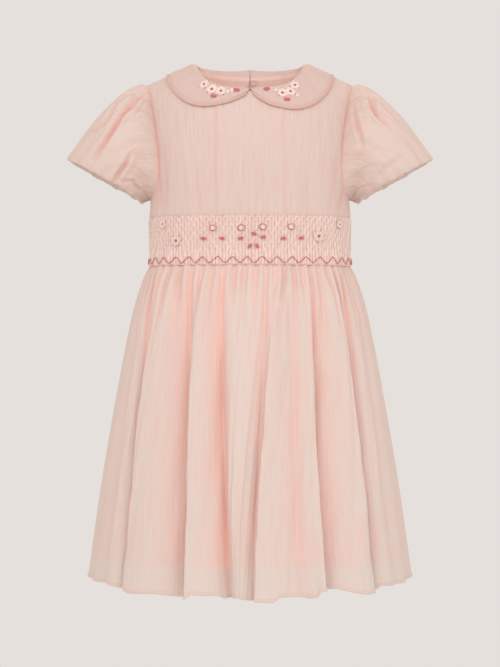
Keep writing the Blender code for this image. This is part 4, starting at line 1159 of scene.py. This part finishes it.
def make_waistband():
    """The smocked front, whose stitches pull its pleats together in pairs, and the plain back."""
    arc = np.linspace(-WAIST_HALF_ARC, WAIST_HALF_ARC, SMOCK_PLEATS * SMOCK_PER_PLEAT + 1)[None, :]
    drop, ends = band_drops(BAND_ROWS)
    pleat = np.round(arc / PLEAT)
    crest = np.cos(math.pi * (arc / PLEAT - pleat))
    last_row = SMOCK_ROWS * SMOCK_ROW_PITCH
    bound = smooth(last_row + 3.0, last_row - 5.0, drop)
    pair = np.where(pleat % 2 == 0, 1.0, -1.0)
    shift = SMOCK_LEAN * bound * np.cos(math.pi * drop / SMOCK_ROW_PITCH) * pair
    shift = shift + (0.55 - 0.4 * bound) * uneven(pleat / 3.1 + drop / 26.0, 2.0)
    strength = 0.85 + (0.5 - 0.2 * bound) * uneven(pleat / 1.9 + drop / 21.0, 6.0)
    inner = np.minimum(1.0, (WAIST_HALF_ARC - np.abs(arc)) / 3.0)
    height = SMOCK_DEEP * strength * (crest ** 0.8 - 0.75) + 0.4 * uneven(arc / 31.0 + drop / 60.0, 4.0)
    turn, _ = turn_at_arc(arc + shift * PLEAT * crest * inner)
    grid = ring_at(WAIST_TOP - drop, FRONT, turn, BAND_LIFT + height * inner - 0.9 * ends)
    uv = np.stack(np.broadcast_arrays(arc * 2.2, -drop), axis=-1)
    # Painted shade between the pleats and where the band turns under at its ends
    shade_mask = np.clip(0.95 - strength * crest ** 0.8 + 0.4 * ends, 0.0, 1.0)
    piece = add_cloth("waistband_front", grid, SMOCKED, uv, shade_mask, wall=0.7)
    for name, mirror in (("left", 1), ("right", -1)):
        turn = np.linspace(0.0, math.pi / 2, 90)[None, :] * mirror
        turn = turn[:, ::-1] if mirror > 0 else turn
        drop, ends = band_drops(PLAIN_BAND_ROWS)
        wave = 0.35 * uneven(turn * 6.0 + drop / 70.0, mirror) * np.cos(turn) - 0.9 * ends
        grid = ring_at(WAIST_TOP - drop, BACK, turn, BAND_LIFT + wave)
        # Painted shade where the band turns under at its ends
        shade_mask = 0.22 + 0.4 * ends + 0.0 * turn
        piece = add_cloth("waistband_back_" + name, grid, CLOTH, None, shade_mask, wall=0.9)


def band_point(arc, drop, lift):
    """A point on the front band's pleats, at a length of cloth from the middle."""
    turn, _ = turn_at_arc(arc)
    return ring_at(WAIST_TOP - drop, FRONT, turn, BAND_LIFT + lift)


def add_smocking_stitches():
    """Cream threads that hold the pleats in pairs, and the pink zigzag under them."""
    cream, pink = Threads(), Threads()
    for row in range(SMOCK_ROWS + 1):
        for k in range(-SMOCK_PLEATS // 2 + 1, SMOCK_PLEATS // 2 - 1):
            if (k + row) % 2:
                continue
            drop = max(row * SMOCK_ROW_PITCH, 1.4) + 0.35 * float(uneven(k / 1.3, row))
            middle = (k + 0.5) * PLEAT
            start = band_point(middle - 0.5 * PLEAT, drop, 0.35)
            end = band_point(middle + 0.5 * PLEAT, drop + 0.2, 0.35)
            out = unit(band_point(middle, drop, 1.0) - band_point(middle, drop, 0.0))
            cream.stitch(start, end, out, 0.36, 0.6)
            if row < SMOCK_ROWS:
                low = band_point(middle + 1.1 * PLEAT, drop + SMOCK_ROW_PITCH, 0.1)
                cream.stitch(end, low, out, 0.25, 0.4)
    arc = np.arange(-WAIST_HALF_ARC + 2.0, WAIST_HALF_ARC - 2.0, 0.7)
    phase = (arc + 3.1) / ZIGZAG_PITCH + 0.05 * uneven(arc / 37.0, 3.0)
    wave = np.abs(2.0 * (phase - np.round(phase)))
    wave = 0.4 * wave + 0.3 * (1.0 - np.cos(math.pi * wave))
    drop = mix(ZIGZAG_DROPS[0], ZIGZAG_DROPS[1], wave) + 0.3 * uneven(arc / 9.0, 5.0)
    path = band_point(arc, drop, 0.75)
    out = unit(band_point(arc, drop, 1.0) - band_point(arc, drop, 0.0))
    pink.seam(path, out, 2.9, 0.1, 0.55, 0.2)
    cream.build("smocking_stitches", CREAM, "smocking")
    pink.build("zigzag_stitches", ZIGZAG, "smocking")


def waist_frame(x, height):
    """The place on the smocked band that shows at this x and height."""
    turn = oval_turn(x / value_at(TORSO, "half_width", height), BODY_ROUNDNESS)
    right = unit(ring_at(height, FRONT, turn + 0.01) - ring_at(height, FRONT, turn - 0.01))
    up = np.array((0.0, 0.0, 1.0))
    return Frame(ring_at(height, FRONT, turn, BAND_LIFT + SEWN_LIFT), right, up, unit(np.cross(right, up)))


def collar_frame(x, height):
    """The place on the collar that shows at this x and height."""
    grid, normals = COLLAR_SURFACES["left" if x > 0 else "right"]
    away = (grid[..., 0] - x) ** 2 + (grid[..., 2] - height) ** 2 + np.where(grid[..., 1] < 0, 0.0, 1e6)
    away[:6] = 1e6
    spot = np.unravel_index(np.argmin(away), away.shape)
    out = normals[spot]
    right = unit(np.cross((0.0, 0.0, 1.0), out))
    return Frame(grid[spot], right, np.cross(out, right), out)


def sew(threads, frame, places, radius, lift=0.2, arch=0.0, **shape):
    """A thread through (right, up) places on a frame, which rises by arch in its middle."""
    places = np.asarray(places, float)
    t = np.linspace(-1.0, 1.0, len(places))[:, None]
    path = frame.point + places[:, :1] * frame.right + places[:, 1:] * frame.up
    threads.add(path + frame.out * (lift + arch * (1.0 - t ** 4)), radius, frame.out, **shape)


def bullion(threads, frame, centre, length, angle, radius, bow=0.0):
    """A fat stitch wound round with thread, bowed to one side."""
    coils = length / 0.75
    t = np.linspace(-1.0, 1.0, int(4 * coils) + 1)[:, None]
    along = np.array((math.cos(angle), math.sin(angle)))
    aside = np.array((-along[1], along[0]))
    places = np.asarray(centre) + t * length / 2.0 * along + bow * (1.0 - t ** 2) * aside
    sew(threads, frame, places, radius, arch=radius * 0.7, sides=8, coils=coils)


def circle(radius_x, radius_y, centre=(0.0, 0.0), start=0.0):
    angles = start + np.linspace(0.0, 2.0 * math.pi, 17)
    places = np.stack((radius_x * np.cos(angles), radius_y * np.sin(angles)), axis=1)
    return places + np.asarray(centre)


def add_embroidery():
    """Looped roses, padded buds, rings and small leaves on the collar and the smocking."""
    rose, pale, pink = Threads(), Threads(), Threads()
    roses = [(collar_frame(x, z), COLLAR_ROSE_SIZE * size, 0.5) for x, z, size in COLLAR_ROSES]
    roses += [(waist_frame(x, z), size, 0.42) for x, z, size in WAIST_ROSES]
    for number, (frame, size, thick) in enumerate(roses):
        spin = 1.3 * number
        for aside in (-0.5, 0.5):
            shift = (-aside * size * math.sin(spin), aside * size * math.cos(spin))
            bullion(rose, frame, shift, 1.9 * size, spin, 0.5 * size)
        for k in range(ROSE_PETALS):
            angle = spin + k * 2.0 * math.pi / ROSE_PETALS
            centre = (3.1 * size * math.cos(angle), 2.8 * size * math.sin(angle))
            for width, height, thread in ((1.5, 1.3, 1.0), (0.6, 0.5, 0.8)):
                loop = circle(width * size, height * size, centre, angle)
                sew(pale, frame, loop, thread * thick * size, 0.45)
            angle += math.pi / ROSE_PETALS
            centre = (4.0 * size * math.cos(angle), 3.6 * size * math.sin(angle))
            bullion(rose, frame, centre, 1.9 * size, angle, 0.3 * size)
    buds = [(collar_frame(x, z), math.copysign(0.12, x), 1.15) for x, z in COLLAR_BUDS]
    buds += [(waist_frame(x, z), 0.3 * math.sin(x), 1.0) for x, z in WAIST_BUDS]
    buds += [(waist_frame(x, z), angle, 0.95) for x, z, angle in WAIST_PETALS]
    for frame, angle, size in buds:
        angle = max(min(angle, 1.2), -1.2)
        for aside, length in BUD_STITCHES:
            shift = (-aside * size * math.sin(angle), aside * size * math.cos(angle))
            bullion(rose, frame, shift, length * size, angle, 0.7 * size)
    for x, z in WAIST_RINGS:
        frame = waist_frame(x, z)
        for radius in (0.5, 1.3, 2.1):
            sew(pale, frame, circle(1.2 * radius, radius), 0.46, 0.15)
        sew(pink, frame, circle(*RING_SIZE), 0.42, 0.3)
    for x, z in COLLAR_LEAVES:
        frame = collar_frame(x, z)
        for k in range(4):
            lean = 0.35 * (k - 1.5)
            sew(pale, frame, ((lean, -2.2), (0.9 * (k - 1.5), 0.0), (lean * 1.4, 2.3)), 0.62, 0.4)
    rose.build("rose_embroidery", ROSE, "smocking")
    pale.build("pale_embroidery", PALE, "smocking")
    pink.build("pink_embroidery", ZIGZAG, "smocking")


def valley_fractions(side, drop):
    """How far across the half width each fold's valley lies, at each drop."""
    places = []
    heights = np.array((0.0, SKIRT_MIDDLE, SKIRT_LENGTH))
    for fold in FOLD_TABLE[side][:-1]:
        total = 0.0
        for k, x in enumerate((fold.waist, fold.middle, fold.hem)):
            weight = 1.0
            for m in range(3):
                if m != k:
                    weight = weight * (drop - heights[m]) / (heights[k] - heights[m])
            total = total + weight * x / value_at(SKIRT, "half_width", heights[k])
        places.append(total)
    ones = np.ones_like(drop)
    return np.stack((-ones, *places, ones), axis=1)


def skirt_surface(side):
    """The skirt panel's grid, its cloth coordinates and the painted shade of each point, darker in its
    fold's valley.
    """
    folds = FOLD_TABLE[side]
    index, share = [], []
    for k, fold in enumerate(folds):
        count = int(fold.gathers * SKIRT_PER_GATHER)
        for j in range(0 if k == 0 else 1, count + 1):
            index.append(k)
            share.append(j / count)
    index, t = np.array(index), np.array(share)
    drop = np.linspace(0.0, 1.0, int(SKIRT_LENGTH / SKIRT_STEP) + 1) ** 1.15 * SKIRT_LENGTH
    fall = drop[:, None]
    column = {name: value_at(SKIRT, name, fall) for name in Skirt._fields[1:]}
    turns = oval_turn(valley_fractions(side, drop), column["roundness"])
    first, last = index == 0, index == len(folds) - 1
    gathers = np.array([fold.gathers for fold in folds])[index]
    phase = np.where(first, 0.5 + t / 2.0, np.where(last, t / 2.0, t))
    crest = np.sin(math.pi * phase) ** np.where((index == FLAT_FOLD) | (index == LEANING_FOLD), 0.6, 1.0)
    depths = np.array([fold.depth * (SIDE_SHARE if abs(fold.hem) > SIDE_X else 1.0) for fold in folds])
    before = np.where(first, depths[index], depths[np.maximum(index - 1, 0)])
    depth = np.where(last, before, mix(before, depths[index], t))
    lean = np.where(index == LEANING_FOLD, 0.5, np.array([fold.lean for fold in folds])[index])
    wander = 0.02 * uneven(fall / 120.0 + index * 0.37, 3.0) * np.sin(math.pi * t) * (~first & ~last)
    place = t + wander + lean * column["folds"] * crest ** 2
    start = np.take_along_axis(turns, np.broadcast_to(index, (len(drop), len(index))), axis=1)
    end = np.take_along_axis(turns, np.broadcast_to(index + 1, (len(drop), len(index))), axis=1)
    turn = mix(start, end, place)
    depth_out = column["depth_front" if side == FRONT else "depth_back"]
    x, y = oval(column["half_width"], depth_out, column["roundness"], turn)
    number = np.cumsum(np.where(t == 0, 0.0, 1.0)) / SKIRT_PER_GATHER
    wave = 0.5 - 0.5 * np.cos(2.0 * math.pi * gathers * t)
    wave = np.where(first, 1.0 - wave, wave)
    strength = 1.0 + 0.35 * uneven(number / 1.7, 5.0)
    seam = smooth(0.1, 0.6, np.where(first, t * gathers, np.where(last, (1.0 - t) * gathers, 1.0)))
    fine = 0.5 - 0.5 * np.cos(4.0 * math.pi * gathers * t + 0.8 * uneven(number / 2.3, 1.0))
    which = np.round(number)
    own = near(fall, 0.0, np.maximum(58.0 + 62.0 * uneven(which * 0.77, 9.0), 16.0))
    small = column["gathers"] * (1.0 - wave) ** 2.4 * strength * own * 1.5
    reach = 26.0 + 20.0 * uneven(which * 1.1, 2.0)
    short = near(fall, 0.0, reach) * smooth(0.0, 6.0, fall) * fine ** 2
    small = small + 2.6 * short
    swell = 1.6 * uneven(number / 1.3 + fall / 260.0, 7.0) * smooth(30.0, 160.0, fall)
    swell = swell + 0.5 * uneven(number * 1.9 + fall / 90.0, 8.0) * smooth(20.0, 80.0, fall)
    set_back = np.where(index == FLAT_FOLD, 5.0, 0.0) * crest
    inward = ((depth * (1.0 - crest) + set_back) * column["folds"] + small + swell + 1.0) * seam
    seen_x = x if side == FRONT else -x
    for crease in SKIRT_CREASES[side]:
        inward = inward + crease_depth(seen_x, -fall + 0.0 * x, *crease) * smooth(0.0, 0.4, crest)
    inward = blur(inward, 2)
    normal = unit(np.stack((x / column["half_width"] ** 2, y / depth_out ** 2), axis=-1))
    x = x - normal[..., 0] * inward
    y = y - normal[..., 1] * inward
    x, y = blur(x, 2), blur(y, 2)
    hem = HEM_DROP[side] * (1.0 - np.abs(np.sin(turn))) * fall / SKIRT_LENGTH
    hem = hem + np.interp(x, *np.array(HEM_STEPS[side]).T) * (fall / SKIRT_LENGTH) ** 3
    height = WAIST_BOTTOM - fall - hem
    if side == BACK:
        x = -x
    grid = np.stack((x, side * y, height + 0.0 * x), axis=-1)
    across = running(np.linalg.norm(np.diff(grid[-1], axis=0), axis=1))
    uv = np.stack(np.broadcast_arrays(across[None, :], -fall), axis=-1)
    # Painted shade: darker in the folds' valleys and between the gathers, and along the waist seam
    painted_shade = (1.0 - crest) ** 1.7 * (depth / 24.0) ** 1.6 * np.minimum(1.0, column["folds"] * 3.4)
    painted_shade = painted_shade + 0.6 * (1.0 - wave) ** 4 * np.minimum(1.0, column["gathers"] / 3.0) * own * seam
    painted_shade = painted_shade + 0.3 * short * seam + 0.2 * near(fall, 0.0, 3.0) + 0.12 + 0.0 * x
    inside = (normal[:1, :, 0], side * normal[:1, :, 1], 0.0 * x[:1] - 1.0)
    tuck = grid[:1] - np.stack(inside, axis=-1) * SEAM_TUCK
    if side == BACK:
        tuck[..., 0] = 2.0 * grid[:1, :, 0] - tuck[..., 0]
    grid = np.concatenate((tuck, grid))
    uv = np.concatenate((uv[:1], uv))
    uv[0, :, 1] = 2.0
    return grid, uv, np.clip(np.concatenate((painted_shade[:1], painted_shade)), 0.0, 1.0)


def make_skirt():
    """The skirt's front and back with their rolled hems, and the lining's tube inside them."""
    stitches = Threads()
    for name, side in (("skirt_front", FRONT), ("skirt_back", BACK)):
        grid, uv, painted_shade = skirt_surface(side)
        piece = add_cloth(name, grid, SKIRT_CLOTH, uv, painted_shade)
        out = grid_normals(grid)[-1]
        up = unit(grid[-2] - grid[-1])
        path = grid[-1] - out * 0.3
        hem = add_bar(name + "_hem", path, out, up, HEM_SECTION, HEM_CLOTH)
        line = path + up * 2.4 + out * 1.0
        stitches.seam(line, out, 2.2, 1.1, 0.14, 0.12)
    stitches.build("hem_stitches", SEWING, "cloth")
    drop = np.linspace(0.0, LINING_LENGTH, 60)[:, None]
    turn = np.linspace(0.0, 2.0 * math.pi, 241)[None, :-1]
    column = {field: value_at(SKIRT, field, drop) for field in Skirt._fields[1:]}
    ripple = 2.2 * uneven(9.0 * turn / math.pi, 3.0) * smooth(10.0, 200.0, drop) * np.sin(turn / 2.0) ** 0.5
    inset = LINING_CLEAR + column["gathers"] + LINING_FOLD_REACH * column["folds"] + ripple
    front = np.cos(turn) > 0.0
    depth = np.where(front, column["depth_front"], column["depth_back"]) - inset
    place = np.arctan2(np.sin(turn), np.abs(np.cos(turn)))
    x, y = oval(column["half_width"] - inset, depth, column["roundness"], place)
    grid = np.stack((x, np.where(front, -y, y), WAIST_BOTTOM - 0.4 - drop + 0.0 * x), axis=-1)
    piece = add_cloth("skirt_lining", grid, LINING, closed=True)


def armhole_ring(turn):
    """Points round the armhole seam, from the shoulder over the front and back again."""
    degrees = np.degrees(turn) % 360.0
    below = np.minimum(degrees, 360.0 - degrees)
    front = body_point(FRONT, *armhole_place(FRONT, below))
    back = body_point(BACK, *armhole_place(BACK, below))
    return np.where((degrees <= 180.0)[..., None], front, back)


def ring_point(ring, turn):
    """Centre and points of the plain sleeve rings between their highest and lowest points."""
    ring, turn = np.broadcast_arrays(np.asarray(ring, float), np.asarray(turn, float))
    zero = np.zeros_like(ring)
    top = np.stack((value_at(SLEEVE, "top_x", ring), zero, value_at(SLEEVE, "top_z", ring)), axis=-1)
    under = np.stack((value_at(SLEEVE, "under_x", ring), zero, value_at(SLEEVE, "under_z", ring)), axis=-1)
    centre = (top + under) / 2.0
    reach = np.where(np.sin(turn) >= 0.0, value_at(SLEEVE, "front", ring), value_at(SLEEVE, "back", ring))
    point = centre + (top - under) / 2.0 * np.cos(turn)[..., None]
    point[..., 1] -= reach * np.sin(turn)
    return centre, point


def sleeve_surface(name):
    """A sleeve on the +X side: its grid and the painted shade of each point."""
    ring = np.arange(0.0, 9.0 + SLEEVE_STEP / 2.0, SLEEVE_STEP)[:, None]
    turn = (2.0 * math.pi * np.arange(SLEEVE_COLUMNS) / SLEEVE_COLUMNS)[None, :]
    centre, point = ring_point(ring, turn)
    _, plain = ring_point(0.0, turn)
    pull = (armhole_ring(turn) - plain) * (np.clip(1.0 - ring / 3.0, 0.0, 1.0) ** 2)[..., None]
    point = point + pull
    out = unit(point - centre)
    upper = np.cos(turn / 2.0) ** 2
    wander = turn * SLEEVE_GATHERS + 0.9 * uneven(turn * 1.1, 2.0) + 0.12 * ring
    gather = value_at(SLEEVE, "gather", ring) * upper * (1.0 + 0.4 * uneven(turn * 2.1, 6.0))
    gather = gather + 1.6 * near(ring, 8.1, 0.7)
    push = gather * np.cos(wander)
    fine = near(ring, 0.7, 0.8) + near(ring, 7.2, 0.7)
    push = push + 0.7 * fine * upper * np.cos(2.0 * wander + 1.0) * smooth(0.0, 0.5, ring)
    push = push + 0.9 * uneven(turn * 1.6 + ring * 0.23, 3.0) * np.sin(math.pi * np.clip(ring / 7.0, 0, 1))
    fold = 0.0
    x, y, z = point[..., 0], point[..., 1], point[..., 2]
    for path, width, depth in SLEEVE_CREASES[name]:
        crisp = crease_depth(x, z, path, CRISP * width, depth, CREASE_LIP)
        fold = fold + crisp * smooth(4.0, -10.0, y)
        lower = crease_depth(x + 3.0, z + 8.0, path, width, depth * 0.8, CREASE_LIP)
        fold = fold + lower * smooth(-4.0, 10.0, y)
    shown = smooth(0.3, 1.0, ring) * smooth(7.6, 6.8, ring)
    push = push - fold * shown
    grid = point + out * (push * smooth(0.0, 0.5, ring))[..., None]
    under = (0.5 - 0.5 * np.cos(turn)) ** 2
    scallop = (0.3 + 1.5 * under) * np.cos(SCALLOPS * turn + 1.5 * uneven(turn * 1.4, 5.0))
    scallop = scallop + 0.5 * uneven(turn * 2.2, 1.0)
    scallop = scallop * near(ring, 7.1, 0.9) * np.abs(np.sin(turn / 2.0)) ** 0.5
    grid = grid + scallop[..., None] * np.array((0.5, 0.0, -0.86))
    grid = np.concatenate((grid[:1] + unit(grid[:1] - grid[3:4]) * 1.6, grid))
    shade_mask = np.maximum(fold, 0.0) * shown
    # Painted shade in the creases and the gathers, and along the armhole seam
    painted_shade = 0.12 + 0.05 * shade_mask + 0.035 * shade_mask ** 2 + 0.14 * fine * upper * (0.5 - 0.5 * np.cos(wander))
    painted_shade = painted_shade + 0.6 * near(ring, 0.0, 0.13) + 0.0 * turn
    down = np.linalg.norm(np.diff(grid, axis=0), axis=2)
    down = np.concatenate((np.zeros((1, SLEEVE_COLUMNS)), np.cumsum(down, axis=0)))
    down = np.concatenate((down, down[:, :1]), axis=1)
    around = grid_lengths(grid, True)[..., 0]
    uv = np.stack((around, -down), axis=-1)
    return grid, uv, np.clip(np.concatenate((painted_shade[:1], painted_shade)), 0.0, 1.0)


def make_sleeves():
    """Both sleeves and the bands inside their hems."""
    for name, mirror in (("left", 1), ("right", -1)):
        grid, uv, painted_shade = sleeve_surface(name)
        grid[..., 0] *= mirror
        if mirror > 0:
            grid, uv, painted_shade = grid[:, ::-1], uv[:, ::-1], painted_shade[:, ::-1]
        piece = add_cloth("sleeve_" + name, grid, SLEEVE_CLOTH, uv, painted_shade, closed=True)
        turn = (2.0 * math.pi * np.arange(SLEEVE_COLUMNS) / SLEEVE_COLUMNS)[None, :]
        centre, point = ring_point(9.0, turn)
        point = point + unit(centre - point) * SLEEVE_BAND_INSIDE
        last = SLEEVE[-1]
        up = np.cross((0.0, 1.0, 0.0), (last.top_x - last.under_x, 0.0, last.top_z - last.under_z))
        up = unit(up if up[2] > 0 else -up)
        rise = np.linspace(-1.0, SLEEVE_BAND_HEIGHT, 12)[:, None, None]
        grid = point + up * rise + unit(point - centre) * (0.4 * np.cos(90 * turn))[..., None]
        grid = grid * np.array((mirror, 1.0, 1.0))
        grid = grid[:, ::-1] if mirror > 0 else grid
        piece = add_cloth("sleeve_band_" + name, grid, CLOTH, closed=True, wall=0.9)


def make_back_closing():
    """The placket down the middle of the back, its stitches and its buttons."""
    lift = 2 * LAYER_GAP + PLACKET_LIFT
    height = np.linspace(PLACKET_TOP, WAIST_BOTTOM + 1.0, 100)[:, None]
    x = np.linspace(PLACKET_HALF_WIDTH, -PLACKET_HALF_WIDTH, 25)[None, :]
    turn, over = body_place(BACK, np.abs(x), height)
    turn = np.copysign(turn, x + 0.0 * height)
    out = body_normal(BACK, turn, over)
    edge = near(np.abs(x), PLACKET_HALF_WIDTH, 0.8)
    grid = body_point(BACK, turn, over) + out * (lift - 0.5 * edge + 0.0 * height)[..., None]
    # Painted shade along the placket's edges
    piece = add_cloth("back_placket", grid, CLOTH, None, 0.15 + 0.3 * edge + 0.0 * height, wall=0.9)
    stitches = Threads()
    for column in (3, -4):
        stitches.seam(grid[:, column], out[:, column], 2.0, 0.9)
    stitches.build("placket_stitches", SEWING, "cloth")
    for number, place in enumerate(BUTTON_HEIGHTS, start=1):
        _, over = body_place(BACK, 0.0, place)
        out = body_normal(BACK, np.array(0.0), over)
        centre = body_point(BACK, np.array(0.0), over) + out * (lift + LAYER_GAP)
        add_button(number, centre, out)


def add_button(number, centre, out):
    """A four-hole button with a raised rim, and the thread crossed through its holes."""
    right = np.array((-1.0, 0.0, 0.0))
    up = np.cross(out, right)
    turns = 2.0 * math.pi * np.arange(BUTTON_SIDES) / BUTTON_SIDES
    points, faces = [centre + out * BUTTON_PROFILE[0][1]], []
    for radius, high in BUTTON_PROFILE[1:-1]:
        for angle in turns:
            points.append(centre + (right * math.cos(angle) + up * math.sin(angle)) * radius + out * high)
    points.append(centre + out * BUTTON_PROFILE[-1][1])
    rings = len(BUTTON_PROFILE) - 2
    for j in range(BUTTON_SIDES):
        k = (j + 1) % BUTTON_SIDES
        faces.append((0, 1 + j, 1 + k))
        last = 1 + (rings - 1) * BUTTON_SIDES
        faces.append((len(points) - 1, last + k, last + j))
        for i in range(rings - 1):
            a, b = 1 + i * BUTTON_SIDES, 1 + (i + 1) * BUTTON_SIDES
            faces.append((a + j, b + j, b + k, a + k))
    name = "button_" + str(number)
    attach(add_mesh(name + "_pearl", np.array(points), faces, PEARL), name)
    threads = Threads()
    top = BUTTON_PROFILE[0][1]
    for a, b in (((-1, -1), (1, 1)), ((-1, 1), (1, -1))):
        start, end = (centre + (right * i + up * j) * BUTTON_HOLE + out * top for i, j in (a, b))
        for aside in (-0.25, 0.25):
            offset = up * aside
            threads.stitch(start + offset, end + offset, out, 0.3, 0.7)
    threads.build(name + "_thread", SEWING, "button")


def make_stage():
    """A plain pale floor and backdrop, soft lights and the camera."""
    scene = bpy.context.scene
    pale = linear(*BACKDROP)
    world = bpy.data.worlds.new("studio")
    world.use_nodes = True
    world.node_tree.nodes["Background"].inputs["Color"].default_value = pale
    world.node_tree.nodes["Background"].inputs["Strength"].default_value = 1.0
    scene.world = world
    mesh = bpy.data.meshes.new("floor")
    corners = [(x * FLOOR_SIZE, y * FLOOR_SIZE, FLOOR_Z) for x, y in ((-1, -1), (1, -1), (1, 1), (-1, 1))]
    mesh.from_pydata(corners, [], [(0, 1, 2, 3)])
    floor = bpy.data.objects.new("floor", mesh)
    scene.collection.objects.link(floor)
    paint = bpy.data.materials.new("pale_floor")
    paint.use_nodes = True
    tree = paint.node_tree
    tree.nodes.remove(tree.nodes["Principled BSDF"])
    glow = node(tree, "ShaderNodeEmission", Color=pale, Strength=1.0)
    tree.links.new(glow.outputs["Emission"], tree.nodes["Material Output"].inputs["Surface"])
    mesh.materials.append(paint)
    for light in LIGHTS:
        data = bpy.data.lights.new(light.name, light.kind)
        data.energy = light.power
        lamp = bpy.data.objects.new(light.name, data)
        lamp.location = light.place
        if light.kind == "AREA":
            data.size = light.size
            aim = np.array(LIGHT_AIM) - np.array(light.place)
            lamp.rotation_euler = Vector(aim).to_track_quat("-Z", "Y").to_euler()
        else:
            data.shadow_soft_size = light.size
        scene.collection.objects.link(lamp)
    camera = bpy.data.cameras.new("camera")
    camera.lens = CAMERA_LENS
    camera.sensor_width = CAMERA_SENSOR
    seen_from = bpy.data.objects.new("camera", camera)
    seen_from.location = CAMERA_PLACE
    seen_from.rotation_euler = (math.pi / 2, 0.0, 0.0)
    scene.collection.objects.link(seen_from)
    scene.camera = seen_from
    scene.view_settings.view_transform = "Standard"


make_bodice()
make_back_closing()
make_neck_binding()
make_collar()
make_sleeves()
make_waistband()
add_smocking_stitches()
add_embroidery()
make_skirt()
make_stage()
